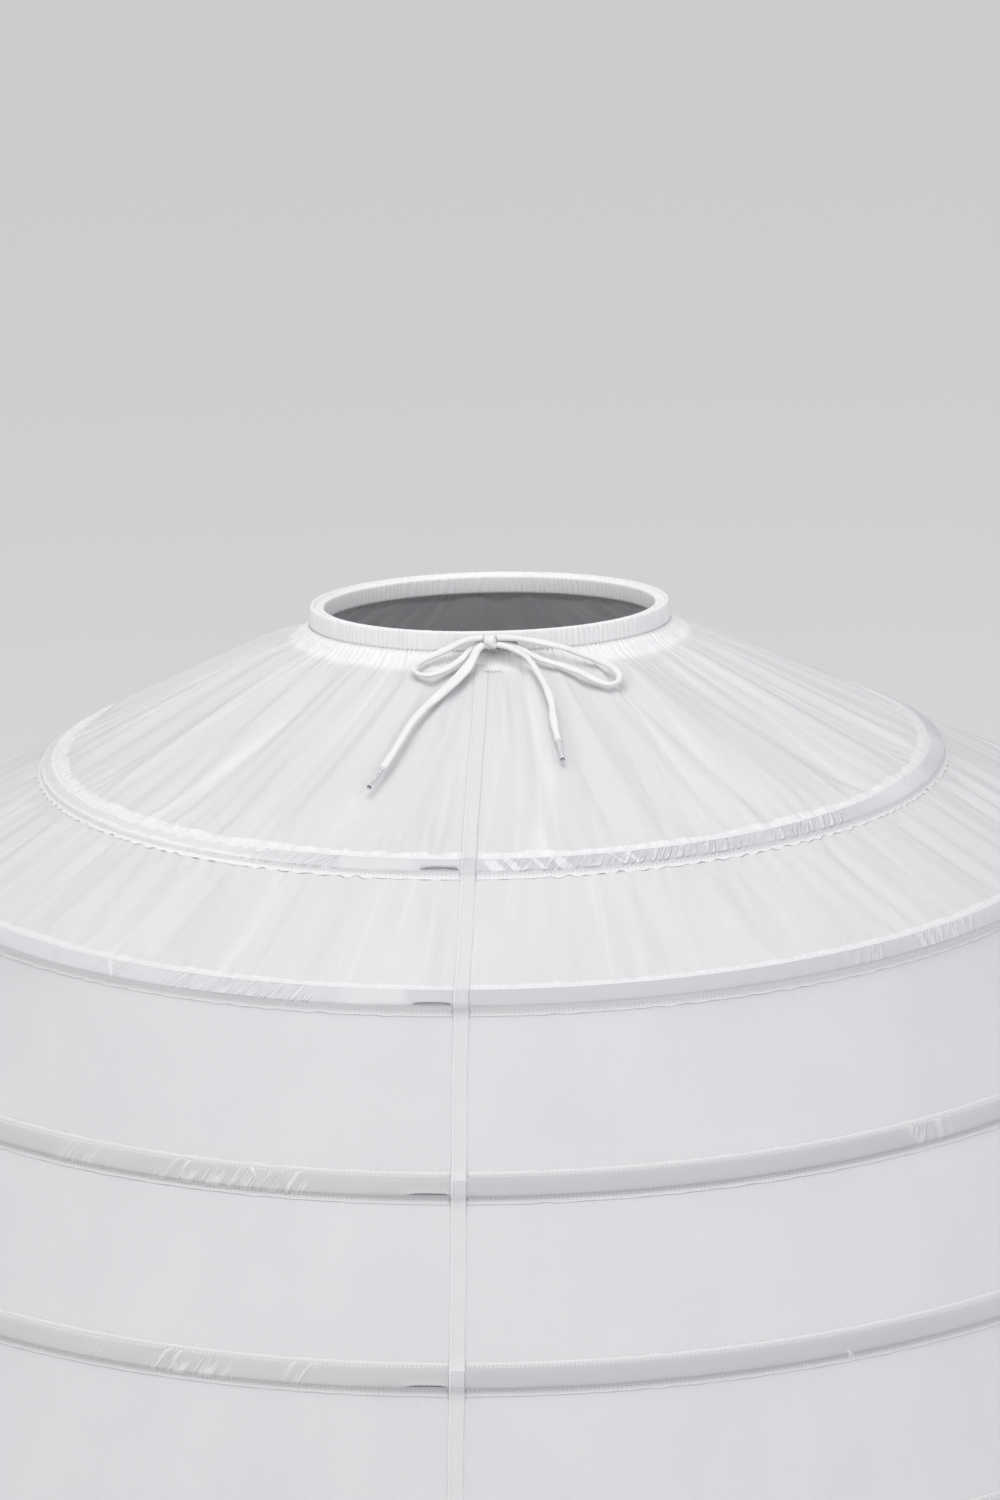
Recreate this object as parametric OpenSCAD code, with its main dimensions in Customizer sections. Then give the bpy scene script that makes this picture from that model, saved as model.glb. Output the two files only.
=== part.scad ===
// Hoop petticoat: a drawstring waistband, a gathered yoke, tiers of thin cloth and eight flat sprung
// hoops that ride in sewn channels. The origin is the centre of the waist opening at its top edge,
// +Z is up, and the laced side with the centre seam faces -Y.

/* [Waistband] */
// Half width of the waistband from side to side
waist_half_w = 122; // [105:1:150]
// Half depth of the waistband from front to back
waist_half_d = 97; // [85:1:125]
// Height of the gathered waistband
band_h = 14; // [13:0.5:20]
// Number of gathers round the waistband
band_gathers = 56; // [40:1:60]
// Depth of the gathers on the waistband
band_gather_d = 1.6; // [0.4:0.1:2.4]
// Height of the waist elastic
elastic_h = 10; // [6:0.5:11]
// Thickness of the waist elastic
elastic_t = 1.2; // [0.8:0.1:2]

/* [Drawstring] */
// Diameter of the braided drawstring
cord_d = 4.6; // [3:0.1:5]
// Length of the stitched buttonhole that the drawstring comes out of
buttonhole_w = 26; // [24:1:34]
// Height of the buttonhole's slit
buttonhole_h = 5.4; // [5:0.1:7]
// Sideways place of the buttonhole's middle
buttonhole_x = 4; // [3:0.5:5]
// Drop from the waistband's top edge to the buttonhole's middle
buttonhole_drop = 9; // [8:0.1:9.2]
// Width of the stitched edge round the buttonhole
buttonhole_edge = 1.6; // [1:0.1:2.5]
// Radius of the bow's knot
knot_r = 5.2; // [5.1:0.1:7]
// Width of the bow's knot
knot_w = 8.8; // [8:0.1:8.8]
// Outer diameter of a lace tip
aglet_d = 3; // [2.4:0.1:4]
// Length of a lace tip
aglet_l = 20; // [12:1:28]

/* [Hoop diameters] */
// Diameter of hoop 1, the one below the yoke
hoop_1_d = 600; // [520:2:660]
// Diameter of hoop 2
hoop_2_d = 796; // [720:2:850]
// Diameter of hoop 3
hoop_3_d = 918; // [860:2:970]
// Diameter of hoop 4
hoop_4_d = 1038; // [980:2:1090]
// Diameter of hoop 5
hoop_5_d = 1146; // [1100:2:1190]
// Diameter of hoop 6
hoop_6_d = 1236; // [1200:2:1270]
// Diameter of hoop 7
hoop_7_d = 1308; // [1280:2:1334]
// Diameter of hoop 8, the lowest
hoop_8_d = 1362; // [1340:2:1376]
// Diameter of the hem
hem_d = 1384; // [1380:2:1440]

/* [Hoop drops] */
// Drop from the waist to hoop 1
hoop_1_drop = 102; // [76:1:110]
// Drop from the waist to hoop 2
hoop_2_drop = 154; // [130:1:180]
// Drop from the waist to hoop 3
hoop_3_drop = 248; // [210:1:270]
// Drop from the waist to hoop 4
hoop_4_drop = 341; // [300:1:365]
// Drop from the waist to hoop 5
hoop_5_drop = 438; // [400:1:465]
// Drop from the waist to hoop 6
hoop_6_drop = 540; // [500:1:570]
// Drop from the waist to hoop 7
hoop_7_drop = 645; // [605:1:675]
// Drop from the waist to hoop 8
hoop_8_drop = 753; // [710:1:765]
// Drop from the waist to the hem
hem_drop = 813; // [790:1:880]

/* [Hoops] */
// Width of a flat hoop
hoop_w = 8; // [5:0.5:9]
// Thickness of a flat hoop
hoop_t = 1.2; // [0.8:0.1:1.6]
// Gap between the two ends of a hoop inside its sleeve
hoop_end_gap = 2; // [0.5:0.5:6]
// Length of the sleeve that joins a hoop's ends
sleeve_l = 40; // [30:1:60]
// Wall of the joining sleeve
sleeve_wall = 0.4; // [0.3:0.05:0.6]
// Play between a hoop and its sleeve
sleeve_play = 0.15; // [0.1:0.05:0.3]

/* [Channels] */
// Room on each side of the sleeve, across the channel
channel_play = 0.45; // [0.2:0.05:1]
// Width of a channel's sloping side
channel_side = 1.6; // [1:0.1:3]
// Width of the stitched edge of a channel tape
tape_edge = 3.2; // [2:0.1:6]
// Thickness of a channel tape
tape_t = 0.8; // [0.5:0.1:1.2]
// Length of the slit where a hoop is threaded in
slit_l = 23; // [15:1:32]
// Margin of tape between the slit and the channel's sides
slit_margin = 0.5; // [0.2:0.1:1]

/* [Cloth] */
// Thickness of the skirt cloth
cloth_t = 1; // [0.6:0.1:1.2]
// Clearance between one sewn layer and the next
lay_gap = 0.3; // [0.2:0.05:0.4]
// Number of folds round the yoke
yoke_folds = 48; // [30:1:50]
// Height of the yoke's folds
yoke_fold_h = 2.4; // [0.5:0.1:2.6]
// Number of folds round the second tier
tier_2_folds = 40; // [24:1:44]
// Height of the second tier's folds
tier_2_fold_h = 2; // [0.5:0.1:4]
// Depth of the turned-up hem
hem_turn_up = 15; // [8:1:30]
// Depth that the hem's stitching pulls the cloth in
hem_dent = 0.1; // [0.05:0.05:0.3]
// Width of the centre seam
seam_w = 9; // [5:0.5:12]
// Thickness of the centre seam's folded edge
seam_t = 0.6; // [0.4:0.1:1]
// Turn of the centre seam away from the middle, in degrees
seam_turn = 3; // [1:0.5:6]

/* [Hidden] */

round_fn = 240;
small_fn = 48;
oval_sides = 180;
last_ring = 9;
ring_sectors = 8;

// Where the centre seam stands, as an angle from +X
seam_at = -90 - seam_turn;
// How far along a tier the stitched tapes reach, and where its folds begin
sleeve_half = hoop_w / 2 + sleeve_play + sleeve_wall;
channel_half = sleeve_half + channel_play;
tape_foot = channel_half + channel_side;
tape_end = tape_foot + tape_edge;
cuff = tape_end + 4;
// Slit of a channel tape
slit_half = channel_half - slit_margin;
slit_offset = seam_w / 2 + 1 + slit_l / 2;
// Clear height of a tape above the middle of the cloth
bed = cloth_t / 2 + lay_gap;
// A hoop stands off the cloth by its sleeve's wall and clearances
hoop_seat = lay_gap + sleeve_wall + sleeve_play;
// Turn inward of the waistband's rounded edges
band_round = 1.5;
band_inset = 0.8;

// Radial build-up of the waistband, from its outer face inwards
channel_out = band_gather_d + cloth_t;
cord_in = channel_out + lay_gap + cord_d / 2;
cord_play = 0.6;
elastic_out = channel_out + lay_gap + cord_d + cord_play;
elastic_in = elastic_out + elastic_t;
channel_in = elastic_in + lay_gap;
band_depth = channel_in + cloth_t;
// The yoke's upper edge hangs under the middle of the waistband
yoke_top_w = waist_half_w - band_depth / 2;
yoke_top_d = waist_half_d - band_depth / 2;
yoke_top_z = -band_h - lay_gap;

// Rings of the skirt's middle surface: the waist, the eight hoops and the hem
ring_radii = [
    (yoke_top_w + yoke_top_d) / 2,
    hoop_1_d / 2, hoop_2_d / 2, hoop_3_d / 2, hoop_4_d / 2,
    hoop_5_d / 2, hoop_6_d / 2, hoop_7_d / 2, hoop_8_d / 2,
    hem_d / 2
];
ring_heights = [
    yoke_top_z,
    -hoop_1_drop, -hoop_2_drop, -hoop_3_drop, -hoop_4_drop,
    -hoop_5_drop, -hoop_6_drop, -hoop_7_drop, -hoop_8_drop,
    -hem_drop
];
function ring_r(k) = ring_radii[k];
function ring_z(k) = ring_heights[k];

// Slope of tier k below the horizontal, and half the cloth's width across a level cut
function slope(k) = atan2(ring_z(k - 1) - ring_z(k), ring_r(k) - ring_r(k - 1));
function level_half(k) = cloth_t / 2 / sin(slope(k));
function tier_length(k) = norm([ring_r(k) - ring_r(k - 1), ring_z(k) - ring_z(k - 1)]);
// Slope of hoop k, between those of the tiers that it joins
function hoop_slope(k) = (slope(k) + slope(k + 1)) / 2;
// Height of the cloth under hoop k. Where the upper tier is the steeper one, the sleeve spans a valley
function valley(k) = (slope(k) - slope(k + 1)) / 2;
function crest(k) = max(
    level_half(k) * sin(hoop_slope(k)),
    level_half(k + 1) * sin(hoop_slope(k)),
    sleeve_half * tan(valley(k)) + cloth_t / 2 / cos(valley(k))
);
// Height of the roof of channel k above the ring's own point
function roof(k) = crest(k) + 2 * hoop_seat + hoop_t;
// How far from ring k the channel's sides start, along the cloth: farther in a valley
function foot(k) = tape_foot / cos(max(0, valley(k))) + bed * tan(max(0, valley(k)));

// A point beside ring k in the plane of a section: so far down the slope, and so far outwards
function beside(k, angle, along, out) = [
    ring_r(k) + along * cos(angle) + out * sin(angle),
    ring_z(k) - along * sin(angle) + out * cos(angle)
];
function above_hoop(k, along, out) = beside(k, hoop_slope(k), along, out);
function on_upper(k, along, out) = beside(k, slope(k), -along, out);
function on_lower(k, along, out) = beside(k, slope(k + 1), along, out);

function mix(a, b, t) = a + (b - a) * t;
function oval(half_w, half_d, sides) = [
    for (i = [0 : sides - 1]) [half_w * cos(360 * i / sides), half_d * sin(360 * i / sides)]
];

// Distance round a ring of radius r from the direction given, for an angle a
function arc_from(a, direction, r) = abs((a - direction + 540) % 360 - 180) * PI / 180 * r;
// Folds die away beside a sewn line: 0 on the line, 1 well away from it
function clear_of(distance, flat_half) = min(1, max(0, (distance - flat_half) / 12));
// Uneven folds round a ring, between -1 and 1
function fold(a, count) =
    sin(count * a + 30 * sin(3 * a) + 24 * sin(7 * a + 50)) * (0.72 + 0.28 * sin(5 * a + 40));

// A closed body between rings of points: the rows run down the outside and back up the inside
module ring_body(rows) {
    n = len(rows[0]);
    m = len(rows);
    polyhedron(
        points = [for (row = rows) for (p = row) p],
        faces = [
            for (j = [0 : m - 1])
                for (i = [0 : n - 1])
                    let (
                        a = j * n + i,
                        b = j * n + (i + 1) % n,
                        c = (j + 1) % m * n + (i + 1) % n,
                        d = (j + 1) % m * n + i
                    )
                        each [[a, b, c], [a, c, d]]
        ],
        convexity = 12
    );
}

// A section turned round the whole ring in equal sectors
module ring_of_sectors() {
    for (i = [0 : ring_sectors - 1])
        rotate([0, 0, 360 * i / ring_sectors])
            rotate_extrude(angle = 360 / ring_sectors, $fn = round_fn)
                children();
}

// A tube swept along a route, with flat ends that face the two end directions
function unit(v) = v / norm(v);
function route_tangent(route, i, first, last) =
    i == 0 ? unit(first)
    : i == len(route) - 1 ? unit(last)
    : unit(unit(route[i + 1] - route[i]) + unit(route[i] - route[i - 1]));
module swept_cord(route, first, last, level = [0, -0.37, 0.93]) {
    sides = 8;
    m = len(route);
    points = [
        for (i = [0 : m - 1])
            let (
                t = route_tangent(route, i, first, last),
                u = unit(cross(t, level)),
                v = cross(t, u)
            )
                for (k = [0 : sides - 1])
                    let (angle = 360 * (k + 0.5) / sides)
                        route[i] + cord_d / 2 * (cos(angle) * u + sin(angle) * v)
    ];
    side_faces = [
        for (i = [0 : m - 2])
            for (k = [0 : sides - 1])
                let (
                    a = i * sides + k,
                    b = i * sides + (k + 1) % sides,
                    c = (i + 1) * sides + (k + 1) % sides,
                    d = (i + 1) * sides + k
                )
                    each [[a, d, c], [a, c, b]]
    ];
    polyhedron(
        points = points,
        faces = concat(
            [[for (k = [0 : sides - 1]) k]],
            side_faces,
            [[for (k = [sides - 1 : -1 : 0]) (m - 1) * sides + k]]
        ),
        convexity = 6
    );
}

// Points that the loops and tails of the bow follow. Each lies on the folds of the yoke
knot_y = -(waist_half_d + 2 * lay_gap + tape_t + knot_r);
knot_z = -knot_r;
strand_offset = cord_d * 0.59;
strand_top = [0, 0, strand_offset];
strand_back = [0, strand_offset * cos(30), -strand_offset / 2];
strand_front = [0, -strand_offset * cos(30), -strand_offset / 2];
left_face = [-knot_w / 2, knot_y, knot_z];
right_face = [knot_w / 2, knot_y, knot_z];
left_loop_route = [
    left_face + strand_top,
    [-12, -103.4, -3.2], [-20, -102.8, -5.8], [-28, -102.8, -9.8], [-36, -103.4, -13.2],
    [-43.5, -105.4, -15.6], [-49, -110.8, -18.2], [-48, -118, -21.4], [-41.5, -121.6, -22.4],
    [-33.5, -119.6, -21.2], [-25.5, -114.8, -18.6], [-18, -108.6, -14.6], [-11, -103.2, -8.8],
    left_face + strand_back
];
left_tail_route = [
    left_face + strand_front,
    [-8.4, -108.6, -9.4], [-12.2, -113.8, -15.4], [-17.5, -121.5, -20.7], [-25, -131.5, -26],
    [-34, -142.5, -31.5], [-43.5, -155, -37.2], [-51, -167, -42.8], [-56, -179, -48.2],
    [-61, -191, -53.7], [-66, -202, -58.8], [-69.5, -208.8, -62]
];
right_loop_route = [
    right_face + strand_top,
    [13.5, -103.2, -3], [25, -102, -5], [37, -101.5, -7.6], [49, -102, -11], [59.5, -102.2, -15],
    [69.5, -103.4, -19], [78, -106.8, -22.6], [83, -113.6, -26.2], [82, -121.6, -29.4],
    [75.5, -126, -29.8], [67, -123.6, -27.2], [58, -118, -23.6], [48.5, -113.4, -20.6],
    [39, -110.4, -18.2], [30, -107.6, -15.4], [21.5, -104.6, -11.4], [12.5, -102.2, -7.8],
    right_face + strand_back
];
right_tail_route = [
    right_face + strand_front,
    [10.5, -107.6, -7.6], [17.5, -110.2, -10.2], [24, -113, -14.2], [29, -118.6, -20],
    [33, -128, -25.4], [36.6, -140, -30.9], [38.8, -152, -36], [39.2, -164, -41], [40.3, -176, -46.2],
    [42, -188.7, -51.6]
];

// Waistband: a gathered casing, hollow for the elastic and the drawstring
module waistband() {
    n = 4 * band_gathers;
    function gather_in(a) =
        band_gather_d / 2 * (1 - fold(a, band_gathers))
        * clear_of(arc_from(a, -90, waist_half_w), buttonhole_w / 2 + buttonhole_x + 3);
    function outer_row(z, inset) = [
        for (i = [0 : n - 1])
            let (a = 360 * i / n, d = inset + gather_in(a))
                [(waist_half_w - d) * cos(a), (waist_half_d - d) * sin(a), z]
    ];
    function inner_row(z) = [
        for (i = [0 : n - 1])
            let (a = 360 * i / n)
                [(waist_half_w - band_depth) * cos(a), (waist_half_d - band_depth) * sin(a), z]
    ];
    color("snow")
        difference() {
            ring_body([
                outer_row(0, band_inset),
                outer_row(-band_round, 0),
                outer_row(band_round - band_h, 0),
                outer_row(-band_h, band_inset),
                inner_row(-band_h),
                inner_row(0)
            ]);
            oval_ring(channel_out, channel_in, cloth_t - band_h, -cloth_t);
            buttonhole_slit();
        }
}

// An oval ring between two distances in from the waistband's outer face
module oval_ring(from_in, to_in, low, high) {
    translate([0, 0, low])
        linear_extrude(height = high - low, convexity = 4)
            difference() {
                polygon(oval(waist_half_w - from_in, waist_half_d - from_in, oval_sides));
                polygon(oval(waist_half_w - to_in, waist_half_d - to_in, oval_sides));
            }
}

// The slit goes right through the curved front wall, from outside the stitching into the hollow
module buttonhole_slit() {
    reach_in = channel_out + cord_d;
    reach_out = 2 * lay_gap + 2 * tape_t;
    translate([
        buttonhole_x - buttonhole_w / 2,
        -waist_half_d - reach_out,
        -buttonhole_drop - buttonhole_h / 2
    ])
        cube([buttonhole_w, reach_in + reach_out, buttonhole_h]);
}

module waist_elastic() {
    color("whitesmoke")
        oval_ring(elastic_out, elastic_in, -band_h / 2 - elastic_h / 2, elastic_h / 2 - band_h / 2);
}

// The buttonhole's stitched edge lies on the outside of the waistband
module buttonhole_stitching() {
    frame_w = buttonhole_w + 2 * buttonhole_edge;
    frame_h = buttonhole_h + 2 * buttonhole_edge;
    color("gainsboro")
        difference() {
            intersection() {
                oval_ring(-lay_gap - tape_t, -lay_gap, -band_h, 0);
                translate([
                    buttonhole_x - frame_w / 2,
                    -waist_half_d - 4 * tape_t,
                    -buttonhole_drop - frame_h / 2
                ])
                    cube([frame_w, 8 * tape_t, frame_h]);
            }
            buttonhole_slit();
        }
}

// The stretch of the drawstring inside the waistband. Its two ends come out behind the knot
module drawstring_in_band() {
    turns = 34;
    z = -buttonhole_drop;
    half_w = waist_half_w - cord_in;
    half_d = waist_half_d - cord_in;
    // It leaves the waistband's hollow inside the slit, and each end comes out beside the middle
    leave_x = buttonhole_w / 2 - buttonhole_x - cord_d * 0.2;
    end_turn = asin(leave_x / half_w);
    out_x = cord_d * 0.56;
    outside = -(waist_half_d + lay_gap + tape_t);
    wall_x = mix(leave_x, out_x, 0.47);
    in_wall = mix(-half_d, outside, 0.45);
    round_the_waist = [
        for (i = [0 : turns])
            let (a = mix(-90 + end_turn, 270 - end_turn, i / turns))
                [half_w * cos(a), half_d * sin(a), z]
    ];
    color("white")
        swept_cord(
            concat(
                [[out_x, outside, z], [wall_x, in_wall, z]],
                round_the_waist,
                [[-wall_x, in_wall, z], [-out_x, outside, z]]
            ),
            [0, 1, 0],
            [0, -1, 0],
            [0, 0, 1]
        );
}

// Knot: one strand wrapped twice round the bow, with flat sides that the strands come out of
module bow_knot() {
    wrap_r = knot_w / 4;
    color("white")
        translate([0, knot_y, knot_z])
            rotate([0, 90, 0])
                rotate_extrude($fn = small_fn)
                    union() {
                        translate([0, -knot_w / 2])
                            square([knot_r - wrap_r / 4, knot_w]);
                        translate([knot_r - wrap_r, wrap_r])
                            circle(r = wrap_r, $fn = small_fn);
                        translate([knot_r - wrap_r, -wrap_r])
                            circle(r = wrap_r, $fn = small_fn);
                    }
}

module left_loop() {
    color("white") swept_cord(left_loop_route, [-1, 0, 0], [1, 0, 0]);
}

module right_loop() {
    color("white") swept_cord(right_loop_route, [1, 0, 0], [-1, 0, 0]);
}

module left_tail() {
    m = len(left_tail_route);
    color("white")
        swept_cord(left_tail_route, [-1, 0, 0], left_tail_route[m - 1] - left_tail_route[m - 2]);
}

module right_tail() {
    m = len(right_tail_route);
    color("white")
        swept_cord(right_tail_route, [1, 0, 0], right_tail_route[m - 1] - right_tail_route[m - 2]);
}

// Lace tip: a rolled tube with a rounded end, carried on the end of a tail
module aglet(route) {
    m = len(route);
    start = route[m - 1];
    along = unit(start - route[m - 2]);
    tip = aglet_d / 2;
    color("gainsboro")
        translate(start)
            rotate([0, acos(along[2]), atan2(along[1], along[0])])
                rotate_extrude($fn = small_fn)
                    union() {
                        square([aglet_d / 2, aglet_l - tip]);
                        intersection() {
                            translate([0, aglet_l - tip])
                                circle(r = tip, $fn = small_fn);
                            translate([0, aglet_l - tip])
                                square([aglet_d, aglet_d]);
                        }
                    }
}

// One side of a gathered tier at one height: a level ring of points that the folds push in and out
function gathered_row(n, count, half_w, half_d, z, fold_h, side, tier) = [
    for (i = [0 : n - 1])
        let (
            a = 360 * i / n,
            flat = clear_of(arc_from(a, seam_at, half_d), seam_w / 2 + 3.5),
            out = (fold_h * flat * fold(a, count) + side * cloth_t / 2) / sin(slope(tier))
        )
            [(half_w + out) * cos(a), (half_d + out) * sin(a), z]
];

// Yoke: from the oval waist to the round first hoop, in soft folds that fade towards the hoop
module yoke() {
    n = 4 * yoke_folds;
    cuff_point = on_upper(1, cuff, 0);
    // How far down each row lies, from the waist to the cuff, and how high the folds are there
    rows = [[0, 0.2], [0.1, 1], [0.45, 0.7], [1, 0]];
    function side_row(row, side) = gathered_row(
        n, yoke_folds,
        mix(yoke_top_w, cuff_point[0], row[0]), mix(yoke_top_d, cuff_point[0], row[0]),
        mix(yoke_top_z, cuff_point[1], row[0]), yoke_fold_h * row[1], side, 1
    );
    function hoop_row(side) =
        gathered_row(n, yoke_folds, ring_r(1), ring_r(1), ring_z(1), 0, side, 1);
    color("ghostwhite")
        ring_body(concat(
            [for (row = rows) side_row(row, 1)],
            [hoop_row(1), hoop_row(-1)],
            [for (i = [len(rows) - 1 : -1 : 0]) side_row(rows[i], -1)]
        ));
}

// Second tier: folded between the first two hoops, flat under the channel tapes
module tier_2() {
    n = 4 * tier_2_folds;
    near_cuff = cuff / tier_length(2);
    rows = [[0, 0], [near_cuff, 0], [0.35, 1], [0.65, 0.6], [1 - near_cuff, 0], [1, 0]];
    function side_row(row, side) =
        let (
            r = mix(ring_r(1), ring_r(2), row[0]),
            z = mix(ring_z(1), ring_z(2), row[0])
        )
            gathered_row(n, tier_2_folds, r, r, z, tier_2_fold_h * row[1], side, 2);
    color("ghostwhite")
        ring_body(concat(
            [for (row = rows) side_row(row, 1)],
            [for (i = [len(rows) - 1 : -1 : 0]) side_row(rows[i], -1)]
        ));
}

// A smooth tier, stretched between two hoops
module smooth_tier(k) {
    color("ghostwhite")
        rotate_extrude($fn = round_fn)
            polygon([
                [ring_r(k - 1) - level_half(k), ring_z(k - 1)],
                [ring_r(k - 1) + level_half(k), ring_z(k - 1)],
                [ring_r(k) + level_half(k), ring_z(k)],
                [ring_r(k) - level_half(k), ring_z(k)]
            ]);
}

// Hem band: the cloth below the last hoop, turned up once inside and stitched along the turn-up's edge
module hem_band() {
    half = level_half(last_ring);
    turned = 1 - hem_turn_up / tier_length(last_ring);
    turn_r = mix(ring_r(last_ring - 1), ring_r(last_ring), turned);
    turn_z = mix(ring_z(last_ring - 1), ring_z(last_ring), turned);
    color("ghostwhite")
        ring_of_sectors()
            polygon([
                [ring_r(last_ring - 1) - half, ring_z(last_ring - 1)],
                [ring_r(last_ring - 1) + half, ring_z(last_ring - 1)],
                [turn_r + half - hem_dent, turn_z],
                [ring_r(last_ring) + half, ring_z(last_ring)],
                [ring_r(last_ring) - 3 * half, ring_z(last_ring)],
                [turn_r - 3 * half, turn_z],
                [turn_r - half, turn_z]
            ]);
}

// Channel tape over hoop k: stitched edges on the two tiers and a raised roof over the hoop
module channel(k) {
    wall = tape_t * 0.7;
    slit_turn = slit_l / ring_r(k) * 180 / PI;
    slit_start = seam_at - (slit_offset + slit_l / 2) / ring_r(k) * 180 / PI;
    color("lavender")
        difference() {
            ring_of_sectors()
                polygon([
                    on_upper(k, foot(k) + tape_edge, bed),
                    on_upper(k, foot(k), bed),
                    above_hoop(k, -channel_half, roof(k)),
                    above_hoop(k, channel_half, roof(k)),
                    on_lower(k, foot(k), bed),
                    on_lower(k, foot(k) + tape_edge, bed),
                    on_lower(k, foot(k) + tape_edge, bed + tape_t),
                    on_lower(k, foot(k) + wall, bed + tape_t),
                    above_hoop(k, channel_half + wall, roof(k) + tape_t),
                    above_hoop(k, -channel_half - wall, roof(k) + tape_t),
                    on_upper(k, foot(k) + wall, bed + tape_t),
                    on_upper(k, foot(k) + tape_edge, bed + tape_t)
                ]);
            rotate([0, 0, slit_start])
                rotate_extrude(angle = slit_turn, $fn = round_fn)
                    polygon([
                        above_hoop(k, -slit_half, roof(k) - tape_t),
                        above_hoop(k, slit_half, roof(k) - tape_t),
                        above_hoop(k, slit_half, roof(k) + 2 * tape_t),
                        above_hoop(k, -slit_half, roof(k) + 2 * tape_t)
                    ]);
        }
}

// Section of a flat strap with bevelled edges
module strap_section(w, t) {
    bevel = t / 4;
    polygon([
        [-w / 2, bevel - t / 2], [bevel - w / 2, -t / 2], [w / 2 - bevel, -t / 2], [w / 2, bevel - t / 2],
        [w / 2, t / 2 - bevel], [w / 2 - bevel, t / 2], [bevel - w / 2, t / 2], [-w / 2, t / 2 - bevel]
    ]);
}

// Puts a section over ring k, square to the cloth there
module at_hoop(k) {
    translate(above_hoop(k, 0, crest(k) + hoop_seat + hoop_t / 2))
        rotate(-hoop_slope(k))
            children();
}

// Hoop k: a flat sprung strip bent to a ring, its ends meeting inside the sleeve
module hoop(k) {
    open_turn = hoop_end_gap / ring_r(k) * 180 / PI;
    meet_at = seam_at - slit_offset / ring_r(k) * 180 / PI;
    color("silver")
        difference() {
            ring_of_sectors()
                at_hoop(k)
                    strap_section(hoop_w, hoop_t);
            rotate([0, 0, meet_at - open_turn / 2])
                rotate_extrude(angle = open_turn, $fn = round_fn)
                    at_hoop(k)
                        square([2 * hoop_w, 3 * hoop_t], center = true);
        }
}

// Sleeve k: a flat tube that holds the two ends of hoop k
module sleeve(k) {
    sleeve_turn = sleeve_l / ring_r(k) * 180 / PI;
    meet_at = seam_at - slit_offset / ring_r(k) * 180 / PI;
    bore_w = hoop_w + 2 * sleeve_play;
    bore_t = hoop_t + 2 * sleeve_play;
    color("lightgrey")
        rotate([0, 0, meet_at - sleeve_turn / 2])
            rotate_extrude(angle = sleeve_turn, $fn = round_fn)
                at_hoop(k)
                    difference() {
                        strap_section(bore_w + 2 * sleeve_wall, bore_t + 2 * sleeve_wall);
                        strap_section(bore_w, bore_t);
                    }
}

// Centre seam: the folded edge that runs from the waistband over every channel down to the hem
module centre_seam() {
    over = bed + tape_t + lay_gap;
    spare = tape_t * 0.7 + 1.4 * lay_gap;
    // Where the yoke's middle surface starts in the seam's own plane
    start_r = yoke_top_w * yoke_top_d
        / norm([yoke_top_d * cos(seam_at), yoke_top_w * sin(seam_at)]);
    cuff_point = on_upper(1, cuff, 0);
    yoke_way = unit(cuff_point - [start_r, yoke_top_z]);
    yoke_out = [-yoke_way[1], yoke_way[0]];
    // The seam comes out from under the waistband as far down as its own thickness needs
    start_along = (bed + seam_t) * yoke_way[0] / -yoke_way[1] + lay_gap;
    function over_channel(k, lift) = [
        on_upper(k, foot(k) + tape_edge + 4 - lift / 4, bed + lift),
        on_upper(k, foot(k) + tape_edge + 1, over + lift),
        on_upper(k, foot(k) + spare, over + lift),
        above_hoop(k, -channel_half - spare, roof(k) + tape_t + lay_gap + lift),
        above_hoop(k, channel_half + spare, roof(k) + tape_t + lay_gap + lift),
        on_lower(k, foot(k) + spare, over + lift),
        on_lower(k, foot(k) + tape_edge + 1, over + lift),
        on_lower(k, foot(k) + tape_edge + 4 - lift / 4, bed + lift)
    ];
    function path(lift) = concat(
        [[start_r, yoke_top_z] + start_along * yoke_way + (bed + lift) * yoke_out],
        [for (k = [1 : last_ring - 1]) each over_channel(k, lift)],
        [beside(last_ring, slope(last_ring), -1, bed + lift)]
    );
    inner = path(0);
    outer = path(seam_t);
    color("white")
        rotate([0, 0, seam_at])
            translate([0, seam_w / 2, 0])
                rotate([90, 0, 0])
                    linear_extrude(height = seam_w, convexity = 12)
                        polygon(concat(inner, [for (i = [len(outer) - 1 : -1 : 0]) outer[i]]));
}

waistband();
waist_elastic();
buttonhole_stitching();
drawstring_in_band();
bow_knot();
left_loop();
right_loop();
left_tail();
right_tail();
aglet(left_tail_route);  // left_aglet
aglet(right_tail_route);  // right_aglet
yoke();
tier_2();
smooth_tier(3);  // tier_3
smooth_tier(4);  // tier_4
smooth_tier(5);  // tier_5
smooth_tier(6);  // tier_6
smooth_tier(7);  // tier_7
smooth_tier(8);  // tier_8
hem_band();
channel(1);  // channel_1
channel(2);  // channel_2
channel(3);  // channel_3
channel(4);  // channel_4
channel(5);  // channel_5
channel(6);  // channel_6
channel(7);  // channel_7
channel(8);  // channel_8
hoop(1);  // hoop_1
hoop(2);  // hoop_2
hoop(3);  // hoop_3
hoop(4);  // hoop_4
hoop(5);  // hoop_5
hoop(6);  // hoop_6
hoop(7);  // hoop_7
hoop(8);  // hoop_8
sleeve(1);  // sleeve_1
sleeve(2);  // sleeve_2
sleeve(3);  // sleeve_3
sleeve(4);  // sleeve_4
sleeve(5);  // sleeve_5
sleeve(6);  // sleeve_6
sleeve(7);  // sleeve_7
sleeve(8);  // sleeve_8
centre_seam();
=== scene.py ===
import math

import bpy
import numpy as np
from mathutils import Matrix, Vector


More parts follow.
